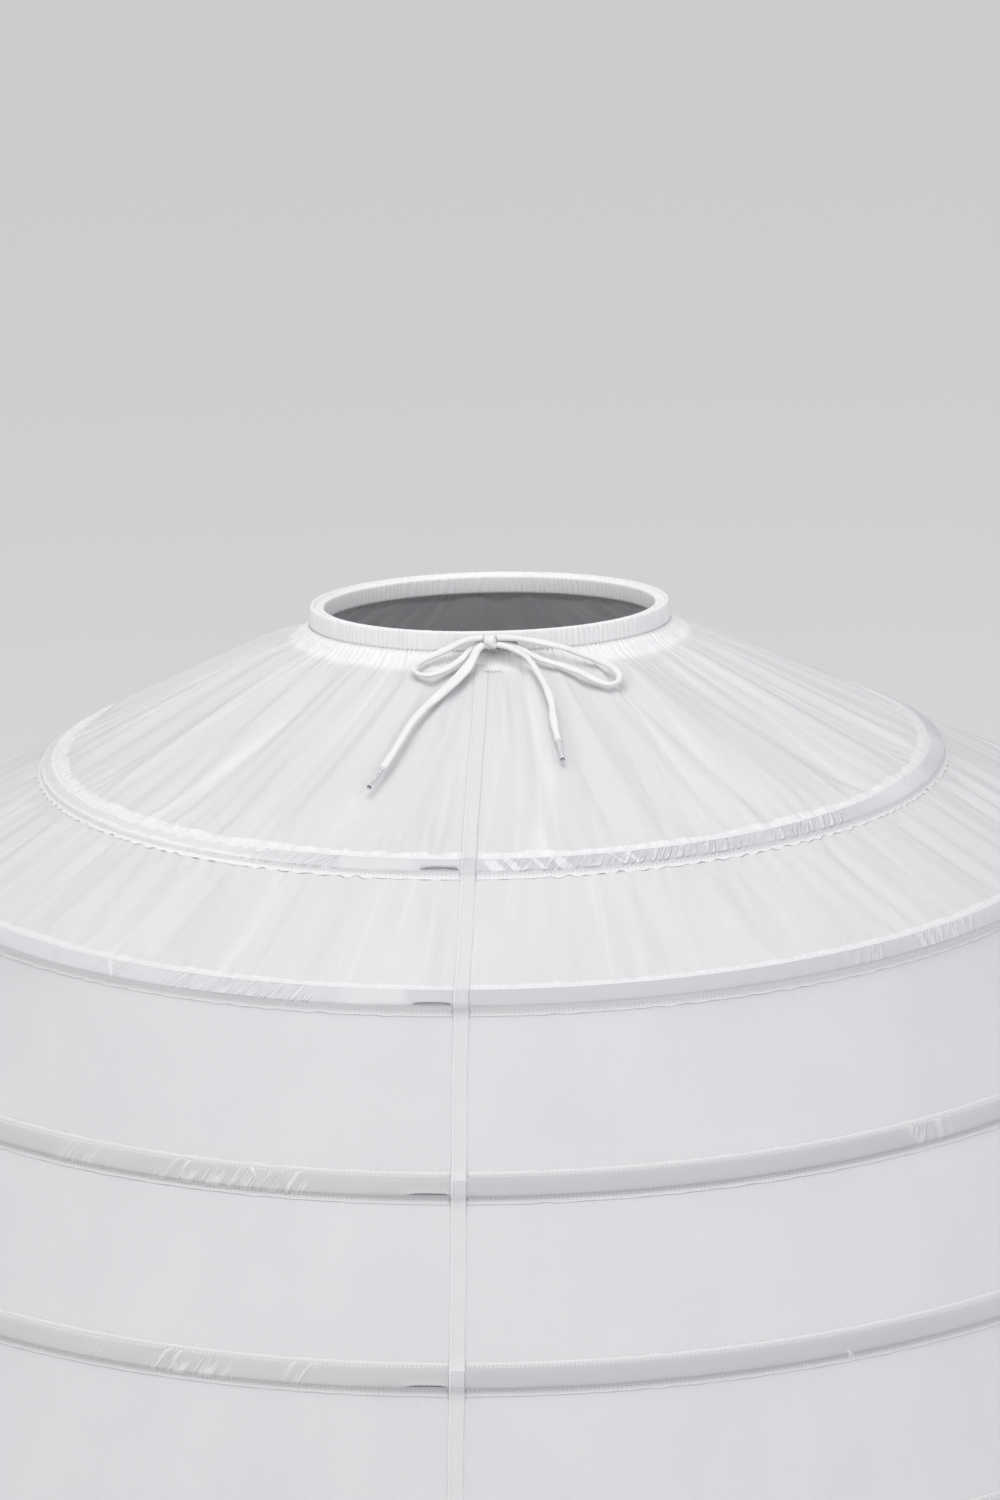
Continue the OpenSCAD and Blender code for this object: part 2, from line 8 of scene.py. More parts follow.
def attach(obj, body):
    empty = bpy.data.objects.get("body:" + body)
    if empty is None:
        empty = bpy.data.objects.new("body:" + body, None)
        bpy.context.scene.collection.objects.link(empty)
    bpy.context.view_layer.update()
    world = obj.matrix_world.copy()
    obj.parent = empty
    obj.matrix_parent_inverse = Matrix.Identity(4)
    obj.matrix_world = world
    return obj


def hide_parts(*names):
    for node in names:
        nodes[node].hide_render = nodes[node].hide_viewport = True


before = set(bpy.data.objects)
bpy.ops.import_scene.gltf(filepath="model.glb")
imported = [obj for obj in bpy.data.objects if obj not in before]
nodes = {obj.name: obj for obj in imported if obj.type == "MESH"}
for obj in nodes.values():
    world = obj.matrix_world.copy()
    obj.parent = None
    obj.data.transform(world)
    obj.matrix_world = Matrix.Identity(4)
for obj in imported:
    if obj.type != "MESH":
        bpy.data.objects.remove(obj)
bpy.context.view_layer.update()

TAU = 2 * math.pi

# Camera
# The camera stands 2.6 m in front of the waist and looks 14 degrees down, a little turned about its axis
PLACE = (0.005, -2.6, 0.563)
PITCH = math.radians(14.40)
ROLL = math.radians(1.22)
LENS = 94.5
cam_data = bpy.data.cameras.new("camera")
cam_data.lens = LENS
cam_data.sensor_width = 36
cam_data.clip_start = 0.05
cam_data.clip_end = 100
cam = bpy.data.objects.new("camera", cam_data)
bpy.context.collection.objects.link(cam)
cam.matrix_world = (
    Matrix.Translation(PLACE)
    @ Matrix.Rotation(math.pi / 2 - PITCH, 4, "X")
    @ Matrix.Rotation(-ROLL, 4, "Z")
)
bpy.context.scene.camera = cam


# Small tools
RIPPLE_WAVES = 14


def smooth(x, low, high):
    """0 below low, 1 above high, with a soft turn between."""
    t = np.clip((x - low) / (high - low), 0, 1)
    return t * t * (3 - 2 * t)


def ripple(a, low, high, seed):
    """An uneven wave round the ring, between about -1 and 1, from whole frequencies low to high."""
    g = np.random.default_rng(seed)
    out = np.zeros_like(a)
    for _ in range(RIPPLE_WAVES):
        out = out + np.sin(g.integers(low, high + 1) * a + g.uniform(0, TAU)) * g.uniform(0.5, 1)
    return out / math.sqrt(RIPPLE_WAVES * 0.29) / 1.6


def turn_from(a, degrees):
    """Signed angle from a direction, in degrees."""
    return (np.degrees(a) - degrees + 180) % 360 - 180


def grid_normals(p):
    """Outward normals of a closed ring of points p[around, down, xyz]."""
    around = np.roll(p, -1, 0) - np.roll(p, 1, 0)
    down = np.gradient(p, axis=1)
    n = np.cross(down, around)
    return n / np.maximum(np.linalg.norm(n, axis=2, keepdims=True), 1e-12)


def ring_points(a, half_w, half_d, z):
    """Points [around, down, xyz] of ovals with these half widths and half depths."""
    return np.stack([half_w * np.cos(a), half_d * np.sin(a), z], -1)


def distance_along(line):
    """How far along a line each of its points is."""
    return np.concatenate([[0], np.cumsum(np.linalg.norm(np.diff(line, axis=0), axis=1))])


def mesh_object(name, verts, quads, uvs, mats, mat_of=None):
    """A mesh from arrays: verts (n, 3), quads (m, 4) and uvs (m, 4, 2), with one material index each."""
    verts = np.asarray(verts, float).reshape(-1, 3)
    quads = np.asarray(quads, int)
    me = bpy.data.meshes.new(name)
    me.vertices.add(len(verts))
    me.vertices.foreach_set("co", verts.ravel())
    me.loops.add(quads.size)
    me.loops.foreach_set("vertex_index", quads.ravel())
    me.polygons.add(len(quads))
    me.polygons.foreach_set("loop_start", np.arange(0, quads.size, 4))
    me.polygons.foreach_set("loop_total", np.full(len(quads), 4))
    layer = me.uv_layers.new(name="UVMap")
    layer.data.foreach_set("uv", np.asarray(uvs, float).ravel())
    me.polygons.foreach_set("use_smooth", np.full(len(quads), True))
    for m in mats:
        me.materials.append(m)
    if mat_of is not None:
        me.polygons.foreach_set("material_index", np.asarray(mat_of, int))
    me.update(calc_edges=True)
    me.validate()
    o = bpy.data.objects.new(name, me)
    bpy.context.collection.objects.link(o)
    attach(o, "root")
    return o


def ring_quads(n, m, base=0, keep=None):
    """Quads of a ring body of n columns, each a closed loop of m points."""
    i, j = np.meshgrid(np.arange(n), np.arange(m), indexing="ij")
    i2, j2 = (i + 1) % n, (j + 1) % m
    q = np.stack([i * m + j, i * m + j2, i2 * m + j2, i2 * m + j], -1) + base
    uv_i = np.stack([i, i, i + 1, i + 1], -1)
    uv_j = np.stack([j, j + 1, j + 1, j], -1)
    if keep is None:
        keep = np.ones((n, m), bool)
    return q[keep], uv_i[keep], uv_j[keep]


def ring_body(name, loops, u, v, mats):
    """A body of closed section loops round a ring: loops (n, m, 3), u (n + 1) and v (m + 1) in metres."""
    n, m = loops.shape[:2]
    q, ui, vj = ring_quads(n, m)
    return mesh_object(name, loops, q, np.stack([u[ui], v[vj]], -1), mats)


def shell(outer_rows, half):
    """Closed loops of a thin cloth: the middle surface moved out and in by half its thickness."""
    n = grid_normals(outer_rows)
    return np.concatenate([outer_rows + n * half, (outer_rows - n * half)[:, ::-1]], axis=1)


def shell_v(v_rows):
    """The distance down the cloth for each point of a shell's loop."""
    v_rows = np.asarray(v_rows, float)
    return np.concatenate([v_rows, v_rows[::-1], v_rows[:1]])


def resample(points, step):
    """A smooth line through the points (Catmull-Rom), cut into even steps."""
    p = np.asarray(points, float)
    p = np.vstack([2 * p[0] - p[1], p, 2 * p[-1] - p[-2]])
    fine = []
    for i in range(1, len(p) - 2):
        t = np.linspace(0, 1, 24, endpoint=False)[:, None]
        a, b, c, d = p[i - 1], p[i], p[i + 1], p[i + 2]
        fine.append(0.5 * (2 * b + (c - a) * t + (2 * a - 5 * b + 4 * c - d) * t**2
                           + (3 * b - a - 3 * c + d) * t**3))
    fine = np.vstack(fine + [p[-2:-1]])
    s = distance_along(fine)
    n = max(4, int(round(s[-1] / step)))
    at = np.linspace(0, s[-1], n + 1)
    return np.stack([np.interp(at, s, fine[:, k]) for k in range(3)], 1), at


TUBE_ROUND = 0.012


def tube(line, section, level=(0, -0.37, 0.93), turn=None):
    """A closed tube along a line: section (points, sides, 2) holds each ring's side and up offsets."""
    n, sides = section.shape[:2]
    t = np.gradient(line, axis=0)
    t /= np.linalg.norm(t, axis=1, keepdims=True)
    if np.ndim(level) == 1:
        level = np.tile(np.asarray(level, float), (n, 1))
    side = np.cross(t, level)
    side /= np.linalg.norm(side, axis=1, keepdims=True)
    up = np.cross(side, t)
    if turn is not None:
        c, s = np.cos(turn)[:, None], np.sin(turn)[:, None]
        side, up = side * c + up * s, up * c - side * s
    pts = (line[:, None] + section[..., :1] * side[:, None] + section[..., 1:] * up[:, None])
    i, j = np.meshgrid(np.arange(n - 1), np.arange(sides), indexing="ij")
    j2 = (j + 1) % sides
    quads = np.stack([i * sides + j, i * sides + j2, (i + 1) * sides + j2, (i + 1) * sides + j], -1)
    s = distance_along(line)
    uvs = np.stack([
        np.stack([j, j + 1, j + 1, j], -1) * TUBE_ROUND / sides,
        s[np.stack([i, i, i + 1, i + 1], -1)],
    ], -1)
    quads, uvs = quads.reshape(-1, 4), uvs.reshape(-1, 4, 2)
    # End caps of quads: pairs of points across the ring
    caps, cap_uv = [], []
    for ring, flip in ((0, True), (n - 1, False)):
        b = ring * sides
        for k in range(sides // 2 - 1):
            c = [b + k, b + k + 1, b + sides - 2 - k, b + sides - 1 - k]
            if flip:
                c = c[::-1]
            if len(set(c)) == 4:
                caps.append(c)
                cap_uv.append([[0, 0], [0.001, 0], [0.001, 0.001], [0, 0.001]])
    quads = np.vstack([quads, np.array(caps)])
    uvs = np.vstack([uvs, np.array(cap_uv)])
    return pts.reshape(-1, 3), quads, uvs


# Materials
def tree(name):
    m = bpy.data.materials.new(name)
    m.use_nodes = True
    nt = m.node_tree
    nt.nodes.clear()
    return m, nt


class Nodes:
    """Short calls for building a node tree."""

    def __init__(self, nt):
        self.nt = nt

    def new(self, kind, **props):
        n = self.nt.nodes.new(kind)
        for k, v in props.items():
            setattr(n, k, v)
        return n

    def put(self, socket, value):
        if hasattr(value, "is_output"):
            self.nt.links.new(value, socket)
        else:
            socket.default_value = value

    def math(self, op, *values):
        n = self.new("ShaderNodeMath", operation=op)
        for k, v in enumerate(values):
            self.put(n.inputs[k], v)
        return n.outputs[0]

    def mul(self, a, b):
        return self.math("MULTIPLY", a, b)

    def add(self, a, b):
        return self.math("ADD", a, b)

    def sub(self, a, b):
        return self.math("SUBTRACT", a, b)

    def max(self, a, b):
        return self.math("MAXIMUM", a, b)

    def abs(self, a):
        return self.math("ABSOLUTE", a)

    def sin(self, a):
        return self.math("SINE", a)

    def range(self, x, a, b, c=0.0, d=1.0):
        n = self.new("ShaderNodeMapRange", interpolation_type="SMOOTHSTEP")
        for k, v in enumerate((x, a, b, c, d)):
            self.put(n.inputs[k], v)
        return n.outputs[0]

    def mix(self, fac, a, b):
        n = self.new("ShaderNodeMix", data_type="RGBA")
        self.put(n.inputs[0], fac)
        self.put(n.inputs[6], a)
        self.put(n.inputs[7], b)
        return n.outputs[2]

    def uv(self):
        sep = self.new("ShaderNodeSeparateXYZ")
        self.nt.links.new(self.new("ShaderNodeUVMap", uv_map="UVMap").outputs[0], sep.inputs[0])
        return sep.outputs[0], sep.outputs[1]

    def vec(self, x, y):
        n = self.new("ShaderNodeCombineXYZ")
        for k, v in enumerate((x, y)):
            self.put(n.inputs[k], v)
        return n.outputs[0]

    def noise(self, vector, scale, detail=2.0, rough=0.5):
        n = self.new("ShaderNodeTexNoise")
        self.put(n.inputs["Vector"], vector)
        n.inputs["Scale"].default_value = scale
        n.inputs["Detail"].default_value = detail
        n.inputs["Roughness"].default_value = rough
        return n.outputs["Fac"]

    def streaks(self, x, across, y, down, detail=2.0, rough=0.5):
        """Noise drawn out over the cloth, with so many cells to the metre each way."""
        return self.noise(self.vec(self.mul(x, across), self.mul(y, down)), 1.0, detail, rough)

    def bump(self, height, distance, strength=1.0, normal=None):
        n = self.new("ShaderNodeBump")
        n.inputs["Strength"].default_value = strength
        n.inputs["Distance"].default_value = distance
        self.put(n.inputs["Height"], height)
        if normal is not None:
            self.put(n.inputs["Normal"], normal)
        return n.outputs[0]


def rgb(r, g, b):
    return (r, g, b, 1.0)


def surface(k, colour, rough, normal, through=0.0, sheen=0.0, specular=0.35, coat=0.0):
    """The shader: Principled, with some light let through where the cloth is thin."""
    b = k.new("ShaderNodeBsdfPrincipled")
    k.put(b.inputs["Base Color"], colour)
    k.put(b.inputs["Roughness"], rough)
    k.put(b.inputs["Normal"], normal)
    b.inputs["Specular IOR Level"].default_value = specular
    b.inputs["Sheen Weight"].default_value = sheen
    b.inputs["Sheen Roughness"].default_value = 0.5
    b.inputs["Coat Weight"].default_value = coat
    out = k.new("ShaderNodeOutputMaterial")
    if through != 0.0:
        t = k.new("ShaderNodeBsdfTranslucent")
        k.put(t.inputs["Color"], colour)
        k.put(t.inputs["Normal"], normal)
        mx = k.new("ShaderNodeMixShader")
        k.put(mx.inputs[0], through)
        k.nt.links.new(b.outputs[0], mx.inputs[1])
        k.nt.links.new(t.outputs[0], mx.inputs[2])
        k.nt.links.new(mx.outputs[0], out.inputs[0])
    else:
        k.nt.links.new(b.outputs[0], out.inputs[0])


WEAVE_PITCH = 0.0005
SHEEN = 0.12


def weave(k, u, v):
    """Height of a plain weave: warp and weft pass over each other in turn."""
    a = k.mul(u, TAU / WEAVE_PITCH)
    b = k.mul(v, TAU / WEAVE_PITCH)
    over = k.mul(k.sin(k.mul(a, 0.5)), k.sin(k.mul(b, 0.5)))
    threads = k.add(k.abs(k.sin(a)), k.abs(k.sin(b)))
    return k.add(k.mul(over, 0.6), k.mul(threads, 0.3))


def cloth(name, light, shade, through=0.30, creases=0.00045, crease_u=130.0, crease_v=11.0, fold_shading_streak=None,
          extra=None):
    """Thin cotton: weave, slubs, creases down it, a slow change of tone, and lighter and darker streaks along
    it: painted light and shade of folds, partly the cloth lying double.
    """
    m, nt = tree(name)
    k = Nodes(nt)
    u, v = k.uv()
    fine = weave(k, u, v)
    slub = k.streaks(u, 900.0, v, 160.0, 2.0)
    crease = k.streaks(u, crease_u, v, crease_v, 3.0, 0.55)
    soft = k.streaks(u, 14.0, v, 9.0, 3.0)
    tone = k.add(k.mul(soft, 0.75), k.mul(slub, 0.25))
    colour = k.mix(k.range(tone, 0.3, 0.72), rgb(*shade), rgb(*light))
    if fold_shading_streak:
        across, down, amount = fold_shading_streak
        # Painted light and shade: noise streaks along the cloth, lighter and darker, stand in for the light
        # and shade of its folds
        bent = k.add(k.mul(u, across), k.mul(v, across * 0.12))
        fold_shading = k.noise(k.vec(bent, k.mul(v, down)), 1.0, 4.0, 0.62)
        colour = k.mix(k.range(fold_shading, 0.52, 0.70, 0.0, amount), colour, rgb(0.90, 0.90, 0.905))
        colour = k.mix(k.range(fold_shading, 0.46, 0.30, 0.0, amount * 0.4), colour, rgb(0.66, 0.662, 0.675))
    normal = k.bump(crease, creases)
    normal = k.bump(k.add(fine, k.mul(slub, 0.8)), 0.00004, 0.6, normal)
    if extra:
        colour, normal, *layers = extra(k, u, v, colour, normal)
        if layers:
            through = k.range(layers[0], 0.0, 1.0, through, 0.06)
    rough = k.range(slub, 0.2, 0.8, 0.74, 0.88)
    surface(k, colour, rough, normal, through, SHEEN)
    return m


def stitch_row(k, u, v, at, pitch=0.0026, half=0.00028):
    """A mask of the stitches of one sewn line at the distance `at`, and of the needle holes between them,
    which the callers darken as painted shade.
    """
    near = k.abs(k.sub(v, at))
    line = k.range(near, half, half * 0.5)
    phase = k.math("FRACT", k.math("DIVIDE", u, pitch))
    thread = k.range(k.abs(k.sub(phase, 0.5)), 0.42, 0.34)
    return k.mul(line, thread), k.mul(line, k.sub(1.0, thread))


def channel_look(slant, depth, cover, pale_end, pale, left=0.0, wrinkled=0.0, hollow_shade_tint=0.528, half=0.0062,
                 line=0.78, far_hollow_shade=0.600, frayed=False, blue=0.026):
    """Two sewn lines, painted shade over the hollow between the pale edges, and slanted crimps over the hoop.
    """

    def add(k, u, v, colour, normal):
        far = k.abs(v)
        hollow = k.range(far, half, half - 0.0008)
        # Each channel takes its own stretch of the noise, by its height on the skirt
        sep = k.new("ShaderNodeSeparateXYZ")
        k.nt.links.new(k.new("ShaderNodeTexCoord").outputs["Object"], sep.inputs[0])
        own = k.mul(sep.outputs[2], 12.0)
        wander = k.noise(k.vec(k.mul(u, 7.0), 0.0), 1.0, 2.0)
        # Left of the slit the tape lies flat on the cloth, and the hollow's painted shade is left off it
        ends = k.add(u, k.mul(k.streaks(u, 150.0, v, 300.0, 2.0), 0.006))
        flat = k.mul(k.range(ends, -0.0240, -0.0360), k.range(ends, -pale_end - 0.014, -pale_end))
        flat = k.mul(flat, 0.8 if pale_end else 0.0)
        weak = k.max(k.range(wander, 0.58, 0.36, 0.0, pale), k.range(u, -0.11, -0.16, 0.0, left))
        clear = k.mul(k.range(u, -0.004, 0.002), k.range(u, 0.30, 0.22))
        weak = k.mul(weak, k.sub(1.0, clear))
        weak = k.max(weak, flat)
        hollow = k.mul(hollow, k.sub(1.0, weak))
        # Painted shade: the tape over the hollow channel is darkened, a little less far left of the seam
        painted_hollow_shade = k.mix(k.range(u, -0.10, 0.02), rgb(far_hollow_shade, far_hollow_shade + 0.002, far_hollow_shade + blue - 0.010),
                     rgb(hollow_shade_tint, hollow_shade_tint, hollow_shade_tint + blue))
        raised = k.range(far, 0.0070, 0.0056)
        tone = k.mix(raised, rgb(0.715, 0.716, 0.723), rgb(0.640, 0.641, 0.648))
        colour = k.mix(k.mul(flat, 0.85), colour, tone)
        # Partly painted light: the white line along each edge is the doubled cloth there, made whiter to lift
        # the roof's shadow
        thin = k.mul(k.range(far, 0.0082, 0.0088), k.range(far, 0.0098, 0.0094))
        colour = k.mix(k.mul(thin, 0.85), colour, rgb(line, line, line + 0.006))
        colour = k.mix(hollow, colour, painted_hollow_shade)
        if frayed:
            # Far left the edges are frayed and white, and cover most of the hollow
            torn = k.streaks(u, 130.0, v, 260.0, 3.0, 0.7)
            white = k.range(k.add(far, k.mul(torn, 0.009)), 0.0062, 0.0088)
            white = k.mul(white, k.range(u, -0.10, -0.15))
            colour = k.mix(k.mul(white, 0.9), colour, rgb(0.80, 0.80, 0.808))
        along = k.add(u, k.mul(v, slant))
        crimp = k.streaks(along, 230.0, v, 40.0, 2.0, 0.6)
        spot = k.mul(k.range(u, -0.200, -0.170), k.range(u, -0.075, -0.095))
        place = k.add(k.noise(k.vec(k.mul(u, 11.0), own), 1.0, 2.0),
                       k.mul(spot, 0.18))
        where = k.range(place, cover, cover + 0.12)
        if not wrinkled:
            where = k.mul(where, k.sub(1.0, clear))
        lines = k.mul(k.range(crimp, 0.44, 0.60), where)
        normal = k.bump(k.mul(lines, hollow), depth, 1.0, normal)
        # Painted highlight: the crimp ridges over the hollow are painted paler than its shade
        colour = k.mix(k.mul(k.mul(lines, hollow), 0.75), colour,
                       rgb(0.70, 0.702, 0.71))
        # A few creases cross it as pale lines of painted highlight
        cross = k.add(u, k.mul(v, -0.7))
        few = k.noise(k.vec(k.mul(cross, 95.0), own), 1.0, 1.0)
        crease_highlight = k.range(few, 0.720, 0.745)
        if wrinkled:
            part = k.mul(k.range(u, 0.008, 0.012), k.range(u, wrinkled + 0.004, wrinkled))
            crease_highlight = k.max(crease_highlight, k.mul(part, k.range(few, 0.50, 0.56)))
            # One long crease of the yoke runs on over the tape, also as a painted highlight
            off = k.abs(k.sub(k.sub(u, k.mul(v, 0.4)), 0.101))
            crease_highlight = k.max(crease_highlight, k.range(off, 0.0018, 0.0008))
        crease_highlight = k.mul(crease_highlight, hollow)
        colour = k.mix(k.mul(crease_highlight, 0.8), colour, rgb(0.77, 0.77, 0.78))
        for at in (-0.0081, 0.0081, -0.0066, 0.0066):
            thread, needle_hole_shade = stitch_row(k, u, v, at)
            colour = k.mix(k.mul(thread, 0.5), colour, rgb(0.88, 0.88, 0.89))
            # Painted shade in the needle holes between stitches
            colour = k.mix(k.mul(needle_hole_shade, 0.4), colour, rgb(0.50, 0.50, 0.52))
            normal = k.bump(k.sub(thread, needle_hole_shade), 0.0002, 0.7, normal)
        return colour, normal

    return add


def seam_look(k, u, v, colour, normal):
    """The centre seam: a folded edge on its left with a painted highlight, and one sewn line beside it; it
    fades at the top.
    """
    start = k.range(v, 0.020, 0.160)
    edge = k.mul(k.range(u, 0.0011, 0.0006), start)
    colour = k.mix(k.mul(k.sub(1.0, start), 0.8), colour, rgb(0.670, 0.671, 0.680))
    # Painted highlight: the folded left edge is painted brighter
    colour = k.mix(k.mul(edge, 0.6), colour, rgb(0.76, 0.76, 0.77))
    thread, needle_hole_shade = stitch_row(k, v, u, 0.0018, 0.0026, 0.00024)
    # Painted shade in the needle holes between stitches
    colour = k.mix(k.mul(needle_hole_shade, 0.35), colour, rgb(0.45, 0.45, 0.47))
    return colour, k.bump(k.sub(thread, needle_hole_shade), 0.0001, 0.6, normal)


def allowance(k, u, far, edge, wander, colour, normal, amount=0.9):
    """The whiter, puckered zone beside a channel, where the seam's inside layers lie under the cloth."""
    ragged = k.noise(k.vec(k.mul(u, 42.0), 0.7), 1.0, 3.0, 0.6)
    reach = k.sub(far, k.mul(k.sub(ragged, 0.5), wander))
    zone = k.range(reach, edge - 0.0008, edge + 0.0008)
    pucker = k.streaks(u, 320.0, far, 22.0, 2.0)
    white = k.mix(k.range(pucker, 0.35, 0.62), rgb(0.725, 0.725, 0.735), rgb(0.800, 0.800, 0.806))
    colour = k.mix(k.mul(zone, amount), colour, white)
    near = k.range(far, edge - 0.012, edge + 0.002)
    normal = k.bump(k.mul(pucker, near), 0.0007, 0.7, normal)
    return colour, normal, k.mul(zone, amount * 0.8)


def tier_look(wander, amount):
    def add(k, u, v, colour, normal):
        # On the side below a channel the zone is mostly hidden by the tape
        far = k.max(v, k.sub(k.mul(v, -1.0), 0.0032))
        return allowance(k, u, far, 0.0430, wander, colour, normal, amount)

    return add


def yoke_look(k, u, v, colour, normal):
    """The seam allowance inside the yoke's top shows as a whiter zone, also painted light that lifts the
    shade under the waistband; it is gathered finely.
    """
    # Partly painted light: the whiter zone at the top also lightens the shade cast by the waistband's edge
    zone = k.range(v, 0.027, 0.017)
    fine = k.streaks(u, 420.0, v, 25.0, 2.0)
    white = k.mix(k.range(fine, 0.35, 0.62), rgb(0.755, 0.755, 0.765), rgb(0.815, 0.815, 0.822))
    colour = k.mix(k.mul(zone, 0.9), colour, white)
    colour, normal, low = allowance(k, u, v, 0.2000, 0.009, colour, normal)
    normal = k.bump(k.mul(fine, zone), 0.0005, 0.7, normal)
    return colour, normal, k.max(k.mul(zone, 0.85), low)


WHITE = (0.805, 0.803, 0.811)
SHADE = (0.772, 0.770, 0.782)
yoke_cloth_m = cloth("yoke_cotton", WHITE, SHADE, fold_shading_streak=(34.0, 1.6, 0.55), extra=yoke_look)
tier_2_cloth_m = cloth("gathered_cotton", WHITE, SHADE, crease_u=100.0, fold_shading_streak=(46.0, 2.4, 0.45),
                       extra=tier_look(0.005, 0.75))
tier_cloth_m = cloth("taut_cotton", (0.788, 0.785, 0.798), (0.762, 0.759, 0.775), creases=0.00012,
                     crease_u=30.0, crease_v=16.0, fold_shading_streak=(8.0, 4.0, 0.12), extra=tier_look(0.0025, 0.25))
# Lit and shaded copies of one tape: the tapes of the lower hoops are painted darker, edges and hollow alike,
# for the lesser light that reaches them
channel_1_m = cloth("crimped_channel_tape", (0.735, 0.734, 0.742), (0.705, 0.704, 0.714), 0.08, 0.0002,
                    extra=channel_look(0.7, 0.0008, 0.42, 0.070, 0.7, 0.7, 0.060, 0.565, frayed=True))
channel_2_shaded_copy_m = cloth("channel_tape", (0.710, 0.709, 0.718), (0.685, 0.684, 0.694), 0.08, 0.0002,
                    extra=channel_look(0.6, 0.0008, 0.52, 0.060, 0.3, 0.15, line=0.75))
channel_3_shaded_copy_m = cloth("taut_channel_tape", (0.660, 0.658, 0.670), (0.640, 0.638, 0.650), 0.08, 0.0002,
                    extra=channel_look(0.5, 0.0006, 0.56, 0.0, 0.2, hollow_shade_tint=0.500, half=0.0076, line=0.72,
                                       far_hollow_shade=0.530, blue=0.012))
seam_m = cloth("seam_cotton", (0.678, 0.676, 0.688), (0.660, 0.658, 0.670), 0.10, 0.0003, crease_u=200.0,
               crease_v=30.0, extra=seam_look)
# Painted shade: where the seam crosses a channel it is darkened, as if the hollow's shade showed through
seam_hollow_shade_m = cloth("seam_over_hollow_painted_shade", (0.600, 0.602, 0.616), (0.575, 0.578, 0.592), 0.10, 0.0003,
                    crease_u=200.0, crease_v=30.0, extra=seam_look)
band_m = cloth("waistband_cotton", (0.84, 0.84, 0.846), (0.80, 0.80, 0.808), 0.08, 0.0004, crease_u=420.0,
               crease_v=45.0)


def braid_material(name, light, shade):
    """A soft tubular braid: crossing strands, with a matte nap."""
    m, nt = tree(name)
    k = Nodes(nt)
    u, v = k.uv()
    a = k.mul(k.add(k.mul(u, 1.0), k.mul(v, 0.9)), TAU / 0.0012)
    b = k.mul(k.sub(k.mul(u, 1.0), k.mul(v, 0.9)),
               TAU / 0.0012)
    over = k.mul(k.sin(a), k.sin(b))
    nap = k.streaks(u, 1500.0, v, 700.0, 2.0)
    fold = k.streaks(u, 260.0, v, 38.0, 2.0)
    colour = k.mix(k.range(k.add(k.mul(nap, 0.4), k.mul(fold, 0.6)), 0.3, 0.7),
                   rgb(*shade), rgb(*light))
    normal = k.bump(fold, 0.0007, 0.7)
    normal = k.bump(k.add(k.mul(over, 0.5), k.mul(nap, 0.5)), 0.00012, 0.6,
                    normal)
    surface(k, colour, 0.85, normal, 0.05, 0.25, 0.3)
    return m


def plain_material(name, light, shade, rough, noise_scale, coat=0.0, grain=0.00003):
    """Plastic, steel or thread: a slight change of tone and roughness, and a fine grain."""
    m, nt = tree(name)
    k = Nodes(nt)
    where = k.new("ShaderNodeTexCoord").outputs["Object"]
    n = k.noise(where, noise_scale, 3.0)
    colour = k.mix(k.range(n, 0.35, 0.65), rgb(*shade), rgb(*light))
    surface(k, colour, k.range(n, 0.3, 0.7, rough * 0.85, rough * 1.1), k.bump(n, grain, 0.6),
            specular=0.45, coat=coat)
    return m


cord_m = braid_material("cotton_braid", (0.79, 0.79, 0.785), (0.73, 0.73, 0.725))
thread_m = plain_material("sewing_thread", (0.56, 0.56, 0.57), (0.38, 0.38, 0.39), 0.38, 900.0, grain=0.00008)
tack_m = plain_material("shiny_thread", (0.90, 0.90, 0.91), (0.74, 0.74, 0.76), 0.30, 900.0, grain=0.00008)
tip_m = plain_material("lace_tip_film", (0.60, 0.60, 0.61), (0.50, 0.50, 0.51), 0.30, 500.0, coat=0.2)
# Painted shade: the dark band at the lace tip's open end
tip_end_shade_m = plain_material("lace_tip_end_shade", (0.10, 0.10, 0.11), (0.06, 0.06, 0.07), 0.45, 700.0)
elastic_m = plain_material("woven_elastic", (0.76, 0.76, 0.75), (0.66, 0.66, 0.65), 0.8, 1400.0, grain=0.0002)
steel_m = plain_material("coated_spring_steel", (0.52, 0.52, 0.53), (0.44, 0.44, 0.45), 0.42, 160.0,
                         coat=0.15)
# Painted shade: the sleeve plastic is made darker so the slits over it read dark
sleeve_darkened_m = plain_material("sleeve_plastic", (0.44, 0.44, 0.45), (0.38, 0.38, 0.39), 0.38, 240.0)

